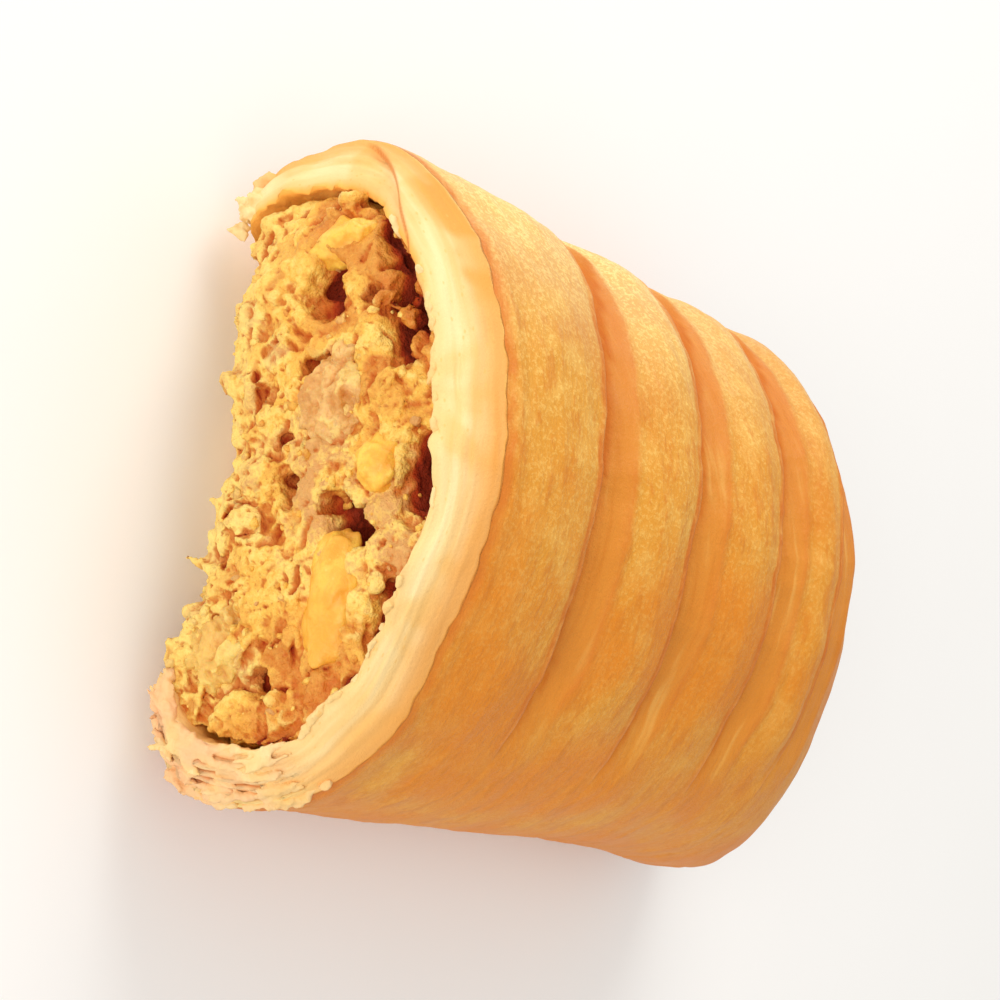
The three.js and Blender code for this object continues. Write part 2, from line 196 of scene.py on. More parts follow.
# Lumps: middle, half sizes, tone from beige 0 to orange 1, and smoothness.
Lump = namedtuple("Lump", "x y z across deep tall tone smooth")
LUMPS = tuple(Lump(*row) for row in (
    (-15.0, -40.3, 9.8, 4.0, 3.0, 4.2, 0.42, 0.8),
    (-16.4, -39.8, 14.0, 2.8, 2.8, 2.8, 0.48, 0.7),
    (-16.2, -39.0, 21.2, 2.3, 2.6, 3.2, 0.66, 0.5),
    (-12.9, -38.8, 12.6, 2.4, 2.4, 2.4, 0.60, 0.2),
    (-10.0, -40.3, 23.1, 2.2, 2.3, 1.9, 0.46, 0.3),
    (-11.8, -39.6, 21.4, 1.6, 1.8, 1.5, 0.56, 0.2),
    (-8.2, -39.9, 21.0, 1.9, 2.0, 1.7, 0.30, 0.2),
    (-10.8, -40.6, 8.2, 2.4, 2.4, 2.2, 0.40, 0.1),
    (-8.2, -41.2, 9.4, 2.4, 2.2, 2.4, 0.36, 0.1),
    (-5.4, -40.8, 8.4, 2.5, 2.6, 2.3, 0.34, 0.1),
    (-10.2, -39.8, 12.6, 2.2, 2.4, 2.2, 0.30, 0.2),
    (-7.4, -40.2, 13.6, 2.0, 2.0, 1.8, 0.50, 0.2),
    (-3.0, -41.4, 7.0, 1.9, 2.2, 1.6, 0.34, 0.2),
    (-2.0, -40.0, 11.2, 2.6, 2.6, 2.4, 0.40, 0.1),
    (0.6, -39.7, 19.0, 3.8, 2.8, 3.8, 0.14, 0.3),
    (-3.4, -39.9, 26.2, 3.2, 2.5, 2.6, 0.62, 0.3),
    (-6.4, -39.4, 24.6, 1.9, 2.0, 1.7, 0.70, 0.2),
    (-1.0, -39.9, 24.6, 2.0, 2.2, 1.9, 0.40, 0.3),
    (2.6, -40.6, 12.4, 3.0, 2.6, 2.7, 0.34, 0.0),
    (6.0, -40.2, 10.8, 2.9, 2.6, 3.0, 0.40, 0.0),
    (3.4, -40.6, 8.0, 2.6, 2.4, 2.2, 0.44, 0.0),
    (1.2, -40.2, 9.0, 2.1, 2.2, 2.0, 0.36, 0.1),
    (7.4, -39.8, 18.4, 1.8, 2.3, 2.6, 0.08, 0.4),
    (5.2, -39.2, 14.4, 2.4, 2.2, 1.9, 0.30, 0.1),
    (9.8, -39.0, 27.6, 2.5, 2.3, 3.2, 0.10, 0.3),
    (12.8, -38.7, 25.6, 2.0, 2.0, 1.6, 0.34, 0.2),
    (7.2, -38.6, 28.8, 1.6, 2.0, 1.6, 0.22, 0.2),
    (10.4, -40.4, 13.2, 3.2, 2.6, 4.4, 0.56, 0.0),
    (14.2, -40.4, 14.2, 3.4, 2.6, 4.2, 0.50, 0.0),
    (12.0, -40.2, 8.8, 3.0, 2.5, 2.6, 0.58, 0.0),
    (9.0, -39.9, 7.4, 2.2, 2.3, 2.0, 0.40, 0.1),
    (17.6, -40.0, 16.8, 2.6, 2.3, 2.8, 0.64, 0.1),
    (19.8, -39.4, 20.6, 3.4, 2.3, 2.4, 0.86, 0.4),
    (22.0, -39.0, 20.8, 2.2, 2.0, 2.4, 0.92, 0.4),
    (20.6, -39.4, 10.6, 2.6, 2.3, 3.0, 0.38, 0.1),
    (17.2, -39.6, 24.2, 2.2, 1.8, 1.4, 0.78, 0.3),
    (-13.4, -38.0, 16.6, 1.6, 2.0, 1.4, 0.80, 0.2),
    (-18.8, -38.6, 12.0, 2.6, 2.4, 4.0, 0.50, 0.5),
    (-20.4, -38.4, 19.8, 2.0, 2.0, 2.2, 0.72, 0.4),
    (10.6, -41.3, 18.4, 1.7, 1.6, 1.5, 0.36, 0.1),
    (13.6, -41.2, 18.0, 1.6, 1.6, 1.5, 0.42, 0.1),
    (16.6, -41.0, 18.4, 1.5, 1.6, 1.4, 0.56, 0.1),
    (-11.4, -39.6, 26.6, 1.3, 1.5, 1.0, 0.85, 0.1),
    (-8.6, -39.3, 27.6, 1.1, 1.4, 0.9, 0.90, 0.1),
    (-13.8, -39.2, 27.4, 1.2, 1.4, 0.9, 0.80, 0.1),
    (23.2, -39.8, 12.8, 2.6, 2.4, 3.2, 0.66, 0.2),
    (22.6, -39.4, 17.2, 2.4, 2.2, 2.2, 0.84, 0.3),
    (20.4, -40.8, 6.4, 2.8, 2.4, 2.4, 0.38, 0.1),
    (18.6, -41.6, 5.6, 2.4, 2.2, 2.0, 0.40, 0.1),
    (22.2, -41.2, 7.8, 2.2, 2.0, 2.4, 0.36, 0.1),
    (23.6, -40.6, 11.0, 1.8, 1.9, 2.2, 0.60, 0.1),
    (15.2, -40.6, 7.4, 2.2, 2.3, 2.0, 0.40, 0.1),
    (17.4, -40.9, 12.6, 2.2, 2.1, 2.0, 0.36, 0.1),
))

# Small spurs that stick out of the filling: middle x, y, z, radius, tone.
SPURS = (
    (-6.0, -41.1, 10.4, 1.60, 0.34),
    (-6.2, -41.5, 9.0, 1.25, 0.34),
    (-6.3, -41.7, 8.0, 1.05, 0.30),
    (-6.6, -41.8, 7.2, 1.20, 0.26),
    (-7.4, -41.8, 6.9, 0.70, 0.26),
    (10.2, -41.4, 7.2, 1.00, 0.36),
    (9.9, -41.5, 6.1, 0.72, 0.34),
    (9.6, -41.6, 5.1, 0.52, 0.32),
    (9.2, -41.7, 4.2, 0.42, 0.30),
    (8.8, -41.7, 3.3, 0.34, 0.30),
    (4.2, -41.6, 7.0, 0.55, 0.34),
    (4.0, -41.6, 6.3, 0.36, 0.34),
)

# The filling's lower outline near the torn end: x and height.
LOWER_OUTLINE = (
    (-26.0, 5.0), (-19.2, 5.4), (-15.0, 7.6), (-11.0, 8.8), (-6.3, 9.1), (-1.6, 9.4),
    (1.0, 8.7), (3.6, 7.6), (10.0, 6.8), (14.4, 5.1), (17.4, 3.4), (20.8, 2.6), (26.0, 3.5),
)

# Holes in the torn face: middle, half sizes and depth.
Hole = namedtuple("Hole", "x z across tall depth")
HOLES = tuple(Hole(*row) for row in (
    (-11.2, 27.0, 4.4, 1.9, 4.2),
    (-14.6, 17.4, 2.6, 1.9, 4.0),
    (-17.4, 25.0, 1.8, 1.4, 4.0),
    (3.4, 29.9, 3.6, 1.4, 5.0),
    (2.8, 16.0, 2.0, 0.9, 4.5),
    (7.4, 23.6, 1.7, 2.4, 5.0),
    (13.4, 27.7, 1.9, 1.0, 4.5),
    (16.6, 26.9, 1.5, 0.9, 4.5),
    (22.2, 15.4, 1.2, 2.2, 4.0),
    (20.2, 14.6, 1.2, 1.0, 3.0),
    (-13.0, 22.4, 1.6, 1.0, 3.4),
    (-7.4, 17.6, 1.0, 1.4, 2.8),
    (5.2, 21.6, 0.9, 1.6, 3.0),
    (16.8, 17.2, 0.8, 1.5, 2.6),
    (12.6, 16.8, 0.7, 1.2, 2.2),
    (11.2, 11.0, 0.8, 1.0, 2.0),
    (-5.6, 12.2, 0.9, 1.3, 3.0),
    (-0.6, 14.6, 0.8, 1.0, 2.6),
    (-20.8, 23.4, 2.3, 1.0, 4.6),
))

# Pieces that the frame names: node, middle, half sizes, turn about Y in degrees, slot.
NAMED_PIECES = (
    ("cheese_strip", (13.2, -41.0, 22.0), (6.5, 2.1, 3.0), 3, "cheese"),
    ("cheese_lump", (2.4, -41.2, 26.0), (2.5, 2.4, 2.1), 0, "cheese"),
    ("cheese_end", (-19.0, -40.0, 17.8), (2.2, 2.4, 4.2), -20, "cheese"),
    ("vegetable_chunk", (-4.0, -40.8, 19.6), (4.6, 2.6, 4.2), 15, "vegetable"),
    ("vegetable_lump", (18.0, -40.9, 9.4), (3.9, 2.8, 3.7), 30, "vegetable"),
)


# ---- Numbers ----

def clamp(value, low=0.0, high=1.0):
    return max(low, min(high, value))


def ease(value, start, stop):
    share = clamp((value - start) / (stop - start))
    return share * share * (3 - 2 * share)


def lerp(start, stop, share):
    return start + (stop - start) * share


def blob(value, spread):
    return math.exp(-((value / spread) ** 2))


def grain(x, y=0.0, z=0.0):
    """Smooth noise from -1 to 1."""
    return noise.noise(Vector((x, y, z)))


def round_grain(angle, turns, place):
    """Noise that closes on itself round the section."""
    return grain(turns * math.cos(angle), turns * math.sin(angle), place)


# ---- The loaf ----

def end_share(station):
    return clamp((station - (LENGTH - END_LENGTH)) / END_LENGTH)


def half_width(station):
    shoulder = SHOULDER * blob(station - SHOULDER_PLACE, SHOULDER_SPREAD)
    plan = (1 - end_share(station) ** END_PLAN) ** (1 / END_PLAN)
    return WIDTH / 2 * plan * (1 - WAIST * station / LENGTH + shoulder)


def underside(station):
    return SEAM_HEIGHT * end_share(station) ** 3


def crown(station):
    drop = (1 - end_share(station) ** END_DROP) ** (1 / END_DROP)
    full = HEIGHT * (1 + RISE * station / LENGTH)
    return underside(station) + (full - underside(station)) * drop


def widest_height(station):
    return underside(station) + WIDEST * (crown(station) - underside(station))


def across_share(angle):
    exponent = TOP_ROUNDNESS if math.sin(angle) >= 0 else SIDE_ROUNDNESS
    cosine = math.cos(angle)
    return math.copysign(abs(cosine) ** (2 / exponent), cosine)


def middle(station):
    return Vector((0.0, station - LENGTH / 2, widest_height(station)))


def plain_skin(station, angle):
    sine = math.sin(angle)
    low = underside(station)
    widest = widest_height(station)
    if sine >= 0:
        height = widest + (crown(station) - widest) * sine ** (2 / TOP_ROUNDNESS)
    else:
        drop = (widest - low + BASE_CUT) * abs(sine) ** (2 / SIDE_ROUNDNESS)
        height = max(widest - drop, low)
    return Vector((half_width(station) * across_share(angle), station - LENGTH / 2, height))


def inward(point, station, distance):
    centre = middle(station)
    reach = (point - centre).length
    return centre.lerp(point, 1 - distance / reach if reach > distance else 0.0)


def bow(station, angle):
    across = across_share(angle)
    fade = ease(station, BOW_FROM, BOW_FULL) * (1 - ease(station, LIPS[-1], LENGTH))
    return fade * (LIP_BOW * across ** 2 - LIP_SLANT * across)


def slash_share(angle, slash=0):
    start, stop, depth = SLASHES[slash]
    degrees = math.degrees(angle)
    rise = ease(degrees, start, start + SLASH_RUNOUT)
    return rise * (1 - ease(degrees, stop - SLASH_RUNOUT, stop)), depth


def rim_value(column, angle):
    """A column of RIM at any angle, eased between its entries."""
    degrees = math.degrees(angle)
    if degrees < RIM[0][0]:
        degrees += 360
    for before, after in zip(RIM, RIM[1:]):
        if before[0] <= degrees <= after[0]:
            return lerp(before[column], after[column], ease(degrees, before[0], after[0]))
    before, after = RIM[-1], RIM[0]
    return lerp(before[column], after[column], ease(degrees, before[0], after[0] + 360))


def ragged(angle, reach, seed, fine=1.0):
    rough = round_grain(angle, 5, seed) + 0.6 * fine * round_grain(angle, 14, seed)
    return reach * rough


def wall_thickness(station, angle):
    under = WALL_UNDER_SLASHES * slash_share(angle)[0]
    return rim_value(3, angle) + under * ease(station, THICKENING_FROM, THICKENING_TO)


def hollow(station, angle, gap, end):
    cap = clamp((station - (end - CAVITY_CAP)) / CAVITY_CAP)
    share = (1 - cap ** 2.5) ** (1 / 2.5)
    point = inward(plain_skin(station, angle), station, wall_thickness(station, angle) + gap)
    return middle(station).lerp(point, share)


def baked_edge(angle, fine=1.0):
    return rim_value(1, angle) + ragged(angle, 0.8, 3.1, fine)


def torn_edge(angle, fine=1.0):
    return rim_value(2, angle) + ragged(angle, 1.1, 8.4, fine)


def corner_share(angle):
    """How much of the rim's layered corner, low at +X, an angle belongs to."""
    degrees = math.degrees(angle)
    return ease(degrees, -85, -55) * (1 - ease(degrees, 0, 26))


# ---- Rows of the crust ----

# One ring of the crust's skin: the slash or strip it is on, where it lies, and its looks.
Row = namedtuple("Row", "slash even place depth cut line", defaults=(0.0, 0.0, 0.0))


def skin_rows(look):
    """Rows from the closed end to the first strip's lip."""
    rows = [Row(None, None, (index / END_ROWS) ** 2.1) for index in range(END_ROWS)]
    for slash in range(len(LIPS) - 1, -1, -1):
        for section in reversed(SLASH_SECTION):
            rows.append(Row(slash, *section))
        if slash > 0:
            length = LIPS[slash] - LIPS[slash - 1] - SLASH_SECTION[-1][1]
            count = max(2, round(length / look.row_spacing))
            for index in range(1, count):
                rows.append(Row(slash - 1, None, 1 - index / count))
    return rows


def skin_relief(row, angle, look):
    """Wrinkles and dimples of the baked skin, in millimetres inward."""
    wrinkle = look.wrinkle * round_grain(angle, 4, row / WRINKLE_LENGTH)
    folds = 0.14 * round_grain(angle, 2.2, row / 1.7 + 7)
    creases = 0.08 * round_grain(angle, 4.5, row / 0.8 + 1)
    dimples = 0.10 * round_grain(angle, 11, row / 2.6 + 3)
    return wrinkle + folds + creases + dimples


def section_station(slash, angle, even, place):
    """Where a row of a slash's section lies, with the lip's jags and the slash's runout."""
    share, deep = slash_share(angle, slash)
    lip = LIPS[slash]
    jag = 0.22 * round_grain(angle, 9, lip) + 0.16 * round_grain(angle, 30, lip + 5)
    if place > 0:
        place *= lerp(0.3, 1.0, share) * lerp(0.72, 1.0, deep)
    return lip + lerp(even, place, share) + jag * share


def strip_start(slash, angle):
    return section_station(slash, angle, *SLASH_SECTION[-1][:2])


def strip_stop(slash, angle):
    return section_station(slash, angle, *SLASH_SECTION[0][:2])


def crevice_slope(angle):
    """How steeply the line falls away behind a slash's lip, below which its floor takes painted shade.
    """
    return max(0.08, 0.24 * math.cos(angle) + 0.72 * math.sin(angle))


def skin_at(station, angle, depth):
    """A point of the skin sunk by a depth. Underneath, it keeps the height of the base."""
    plain = plain_skin(station, angle)
    point = inward(plain, station, depth)
    if math.sin(angle) < -0.5:
        point.z = plain.z
    return point


def skin_point(row, angle, look):
    """A point of the baked skin, with its shares of cut dough, browned line and painted shade under
    the lip.
    """
    cut = line = gap = 0.0
    if row.slash is None:
        share = slash_share(angle, len(LIPS) - 1)[0]
        station = lerp(LENGTH, strip_start(len(LIPS) - 1, angle), row.place)
        depth = share * STRIP_SAG * ease(row.place, 0.7, 1.0)
    elif row.even is None:
        share = slash_share(angle, row.slash)[0]
        start = strip_start(row.slash, angle)
        station = lerp(start, strip_stop(row.slash + 1, angle), row.place)
        sag = STRIP_SAG * (1 - row.place)
        depth = share * (sag - look.pillow * math.sin(math.pi * row.place))
    else:
        share, deep = slash_share(angle, row.slash)
        station = section_station(row.slash, angle, row.even, row.place)
        wave = 1 + 0.12 * round_grain(angle, 5, LIPS[row.slash] + 2)
        depth = min(row.depth, 0.5 + look.slash_depth * row.depth) * share * deep * wave
        cut = row.cut * share ** 0.6
        line = row.line * share ** 0.5
        # The floor just behind the lip, below the line that crevice_slope sets, gets painted shade.
        behind = station - LIPS[row.slash]
        clear = crevice_slope(angle) * behind - depth
        gap = share ** 0.5 * (1 - ease(clear, 0.0, look.painted_crevice_shade))
    station += bow(station, angle)
    station = min(station, LENGTH)
    depth += skin_relief(station, angle, look) * (1 - end_share(station) ** 4)
    return skin_at(station, angle, depth), cut, line, gap


def first_strip_point(share, angle, look, fine=1.0):
    """A point between the torn rim's baked edge (share 0) and the first lip (share 1)."""
    edge = baked_edge(angle, fine)
    row = lerp(edge, strip_stop(0, angle), share)
    station = row + bow(row, angle)
    slash = slash_share(angle)[0]
    depth = slash * (STRIP_SAG * (1 - share) - look.pillow * math.sin(math.pi * share))
    curl = look.edge_curl * blob((row - edge) - 0.9, 0.9)
    return skin_at(station, angle, depth + skin_relief(station, angle, look) - curl)


def puff_direction(angle):
    """Outwards from the torn dough: towards the torn end and away from the filling."""
    outward = (plain_skin(8, angle) - middle(8)).normalized()
    return (outward * 0.55 + Vector((0, -1, 0)) * 0.85).normalized()


def fold(share, angle):
    """The crease across the top of the rim: how far it lifts a point, and how near it is."""
    degrees = math.degrees(angle) % 360
    past = FOLD_FROM - FOLD_SLANT * share - degrees
    lift = ease(past, -1.6, 1.6) * (1 - ease(past, 4, 48))
    fade = ease(share, 0.06, 0.34)
    return lift * fade, blob(past + 0.4, 1.7) * fade


def torn_point(share, angle, look):
    """A point of the torn dough, from the baked edge (share 0) to the hollow (share 1).

    Also gives how layered the dough is there and how deep between two layers the point lies.
    """
    start = first_strip_point(0, angle, look, (1 - share) ** 8)
    inner = torn_edge(angle, share ** 12)
    stop = hollow(inner, angle, 0.0, CAVITY_END)
    point = start.lerp(stop, share)
    fray = look.fray * (round_grain(angle, 11, 2.2) + 0.6 * round_grain(angle, 24, 6.1))
    chips = 0.3 * round_grain(angle, 22, 5.2)
    point.y += fray * share ** 14 + chips * (1 - share) ** 9
    point += (middle(inner) - stop).normalized() * (0.8 * fray * share ** 16)
    layered = corner_share(angle)
    bulge = look.rim_bulge * math.sin(math.pi * share) ** 0.8
    wander = 0.9 * round_grain(angle, 1.6, 1.5)
    streak = 0.16 * round_grain(angle, 1.3, share * 5 + wander)
    streak += 0.08 * round_grain(angle, 2.6, share * 13 + 4)
    place = share - 0.42 - 0.10 * round_grain(angle, 1.5, 3.3)
    streak -= 0.24 * blob(place, 0.07) * (0.6 + round_grain(angle, 2.4, 5.5))
    fibre = 0.035 * round_grain(angle, 5, share * 30)
    tears = ease(round_grain(angle, 5, share * 7 + 20), 0.30, 0.6)
    level = share * look.layers + 0.9 * round_grain(angle, 3, 4.4) + 0.35 * round_grain(angle, 13, 7.7)
    layer = math.floor(level)
    within = level - layer
    torn_back = 0.5 + 0.5 * round_grain(angle, 12, layer * 3.7)
    ledge = within ** 0.7 * (0.30 + 1.3 * torn_back) - 0.35
    bite = 0.25 * round_grain(angle, 22, layer * 5.1)
    fade = math.sin(math.pi * share) ** 0.5
    relief = fade * ((streak + fibre) * (1 - 0.4 * layered) - 0.18 * tears)
    relief += fade * layered * look.layer_relief * (ledge + bite * within)
    lift, crease = fold(share, angle)
    relief += look.fold * lift
    between = max(layered * fade * (1 - ease(within, 0.0, 0.45)), 0.9 * crease)
    return point + puff_direction(angle) * (bulge + relief), layered, between


def place_ball(bm, columns, rows, place):
    """Makes a closed ball and puts each vertex where `place(row, share round)` says."""
    bmesh.ops.create_uvsphere(bm, u_segments=columns, v_segments=rows, radius=1)
    for vertex in bm.verts:
        row = round(math.acos(clamp(vertex.co.z, -1, 1)) / math.pi * rows)
        column = round(math.atan2(vertex.co.y, vertex.co.x) / TAU * columns) % columns
        place(vertex, row, column / columns)


def top_heavy_angle(share, crowd):
    """An angle round the section, with more columns on top than underneath."""
    turn = share + crowd * math.sin(TAU * share) / TAU
    angle = -math.pi / 2 + TAU * turn
    return angle - TAU if angle > math.pi else angle


# ---- Objects ----

def finish_piece(name, bm, material, nodes=(), turn_out=True):
    """Turns a bmesh in millimetres into a smooth piece that rides with the strudel."""
    bmesh.ops.scale(bm, vec=(MM, MM, MM), verts=bm.verts)
    if turn_out:
        bmesh.ops.recalc_face_normals(bm, faces=bm.faces)
    for face in bm.faces:
        face.smooth = True
    mesh = bpy.data.meshes.new(name)
    bm.to_mesh(mesh)
    bm.free()
    piece = bpy.data.objects.new(name, mesh)
    bpy.context.scene.collection.objects.link(piece)
    mesh.materials.append(material)
    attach(piece, "root")
    if nodes:
        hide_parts(*nodes)


def crust_layers(bm):
    """Adds what the crust's material reads and returns the layers by name."""
    layers = bm.verts.layers
    for name in CRUST_MARKS:
        layers.float.new(name)
    layers.float_vector.new("grain")
    keys = {name: layers.float[name] for name in CRUST_MARKS}
    keys["grain"] = layers.float_vector["grain"]
    return keys


def mark(vertex, keys, values):
    for name, value in values.items():
        vertex[keys[name]] = value


def grain_place(angle, length):
    """Where a place lies in the patterns that run round the strudel, in metres."""
    return (GRAIN_RADIUS * math.cos(angle), GRAIN_RADIUS * math.sin(angle), length * MM)


def soften(bm, verts, passes):
    """Evens out some vertices and brings the normals up to date."""
    for _pass in range(passes):
        bmesh.ops.smooth_vert(
            bm, verts=verts, factor=0.5, use_axis_x=True, use_axis_y=True, use_axis_z=True
        )
    bm.normal_update()


def tree_of(spots):
    """A search tree over places that gives each one's number in the list."""
    tree = KDTree(len(spots))
    for index, spot in enumerate(spots):
        tree.insert(spot, index)
    tree.balance()
    return tree


def lumpy_ball(bm, centre, half, turn, detail, lump, seed):
    """Adds a rounded, uneven lump and returns its vertices."""
    made = bmesh.ops.create_icosphere(bm, subdivisions=detail, radius=1)["verts"]
    for vertex in made:
        direction = vertex.co.normalized()
        swell = 1 + lump * grain(2.1 * direction.x + seed, 2.1 * direction.y, 2.1 * direction.z)
        vertex.co = Vector([part * size for part, size in zip(direction, half)]) * swell
    if turn is not None:
        bmesh.ops.rotate(bm, verts=made, cent=(0, 0, 0), matrix=turn.to_matrix())
    bmesh.ops.translate(bm, verts=made, vec=centre)
    return made


def voxel_fused(bm, size):
    """Fuses everything in a bmesh into one skin with even faces and returns a new bmesh."""
    mesh = bpy.data.meshes.new("fusing")
    bm.to_mesh(mesh)
    bm.free()
    holder = bpy.data.objects.new("fusing", mesh)
    bpy.context.scene.collection.objects.link(holder)
    remesh = holder.modifiers.new("fuse", "REMESH")
    remesh.mode = "VOXEL"
    remesh.voxel_size = size
    bpy.context.view_layer.update()
    graph = bpy.context.evaluated_depsgraph_get()
    fused = bmesh.new()
    fused.from_object(holder, graph)
    bpy.data.objects.remove(holder)
    bpy.data.meshes.remove(mesh)
    return fused


def drop_loose(bm, smallest):
    """Removes every island of a bmesh that has fewer vertices than this."""
    unseen = set(bm.verts)
    loose = []
    while unseen:
        island = [unseen.pop()]
        for vertex in island:
            for edge in vertex.link_edges:
                other = edge.other_vert(vertex)
                if other in unseen:
                    unseen.remove(other)
                    island.append(other)
        if len(island) < smallest:
            loose += island
    bmesh.ops.delete(bm, geom=loose, context="VERTS")


def crumbly(spot):
    """Relief of broken curds in millimetres, and the tone of the curd a place belongs to."""
    warp = noise.noise_vector(spot / 1.6) * 0.7
    distances, points = noise.voronoi((spot + warp) / 3.1)
    tone = noise.noise(points[0] * 5.37)
    between = distances[1] - distances[0]
    move = 0.55 * tone * ease(between, -0.1, 0.3) - 0.20 * (1 - ease(between, 0.0, 0.2))
    curds = noise.turbulence(spot / 1.7 + warp * 0.4, 4, True)
    chips = noise.noise(spot / 0.8 + Vector((9.1, 0, 0)))
    move += 0.62 * (0.42 - curds) + 0.16 * max(0.0, chips - 0.1)
    return move, tone


def shade_hollows(bm, reach, rays):
    """Stores on each vertex how much of what it sees is blocked close by, 0 to 1, for the painted
    shade in the hollows.
    """
    shade = bm.verts.layers.float.new("hollow")
    bm.normal_update()
    tree = BVHTree.FromBMesh(bm)
    golden_angle = 2.39996
    directions = []
    for index in range(rays):
        height = (index + 0.5) / rays
        turn = index * golden_angle
        flat = math.sqrt(1 - height * height)
        directions.append(Vector((flat * math.cos(turn), flat * math.sin(turn), height)))
    for vertex in bm.verts:
        if vertex.co.y > SEEN_TO:
            vertex[shade] = 1.0
            continue
        tilt = vertex.normal.to_track_quat("Z", "Y")
        start = vertex.co + vertex.normal * 0.05
        blocked = 0.0
        for direction in directions:
            hit = tree.ray_cast(start, tilt @ direction, reach)
            if hit[0] is not None:
                blocked += 1 - hit[3] / reach
        vertex[shade] = blocked / rays


# ---- Materials ----

class Value:
    """A shader socket that can be used in sums."""

    def __init__(self, recipe, socket):
        self.recipe = recipe
        self.socket = socket

    def combine(self, operation, first, second):
        return self.recipe.make("ShaderNodeMath", {"operation": operation}, {0: first, 1: second})

    def __add__(self, other):
        return self.combine("ADD", self, other)

    def __radd__(self, other):
        return self.combine("ADD", other, self)

    def __sub__(self, other):
        return self.combine("SUBTRACT", self, other)

    def __rsub__(self, other):
        return self.combine("SUBTRACT", other, self)

    def __mul__(self, other):
        return self.combine("MULTIPLY", self, other)

    def __rmul__(self, other):
        return self.combine("MULTIPLY", other, self)


class Recipe:
    """A material under construction."""

    def __init__(self, name):
        self.material = bpy.data.materials.new(name)
        self.material.use_nodes = True
        self.tree = self.material.node_tree
        self.tree.nodes.clear()

    def make(self, kind, settings=None, sockets=None, out=0):
        """Adds a node: its settings first, then values or links for its sockets."""
        node = self.tree.nodes.new(kind)
        for key, value in (settings or {}).items():
            if key == "stops":
                self.set_stops(node.color_ramp, value)
            else:
                setattr(node, key, value)
        for key, value in (sockets or {}).items():
            socket = node.inputs[key]
            if isinstance(value, Value):
                self.tree.links.new(value.socket, socket)
            elif socket.type == "RGBA":
                socket.default_value = (*value, 1.0)
            else:
                socket.default_value = value
        return Value(self, node.outputs[out]) if node.outputs else node

    @staticmethod
    def set_stops(ramp, stops):
        while len(ramp.elements) < len(stops):
            ramp.elements.new(0.5)
        for element, (place, colour) in zip(ramp.elements, stops):
            element.position = place
            element.color = (*colour, 1.0)

    def attribute(self, name, out=2):
        return self.make("ShaderNodeAttribute", {"attribute_name": name}, out=out)

    def vector_attribute(self, name):
        return self.attribute(name, 1)

    def object_place(self):
        return self.make("ShaderNodeTexCoord", out=3)

    def stretched(self, vector, across, along=1.0):
        sockets = {0: vector, 1: (across, across, along)}
        return self.make("ShaderNodeVectorMath", {"operation": "MULTIPLY"}, sockets)

    def noise(self, vector, scale, detail, rough):
        sockets = {"Vector": vector, "Scale": scale, "Detail": detail, "Roughness": rough}
        return self.make("ShaderNodeTexNoise", None, sockets)

    def cells(self, vector, scale):
        return self.make("ShaderNodeTexVoronoi", None, {"Vector": vector, "Scale": scale})

    def band(self, value, low, high, to_low=0.0, to_high=1.0):
        """Eases from to_low to to_high while a value goes from low to high."""
        sockets = {0: value, 1: low, 2: high, 3: to_low, 4: to_high}
        return self.make("ShaderNodeMapRange", {"interpolation_type": "SMOOTHSTEP"}, sockets)

    def paint(self, colour, *coats):
        """Lays coats over a colour, each with the share of it that shows."""
        for coat, share in coats:
            sockets = {0: share, 6: colour, 7: coat}
            colour = self.make("ShaderNodeMix", {"data_type": "RGBA"}, sockets, out=2)
        return colour

    def ramp(self, value, stops):
        return self.make("ShaderNodeValToRGB", {"stops": stops}, {0: value})

    def axis(self, vector, index):
        return self.make("ShaderNodeSeparateXYZ", None, {0: vector}, out=index)

    def finish(self, colour, rough, specular, height=None, bump=0.0, scatter=None):
        """Closes the recipe: a bump of this height, and the surface's other sockets."""
        sockets = {"Base Color": colour, "Roughness": rough, "Specular IOR Level": specular}
        if height is not None:
            relief = {"Strength": 1.0, "Distance": bump, "Height": height}
            sockets["Normal"] = self.make("ShaderNodeBump", None, relief)
        if scatter:
            sockets["Subsurface Weight"] = 0.2
            sockets["Subsurface Radius"] = scatter
            sockets["Subsurface Scale"] = 0.002
        surface = self.make("ShaderNodeBsdfPrincipled", None, sockets)
        self.make("ShaderNodeOutputMaterial", None, {"Surface": surface})
        return self.material


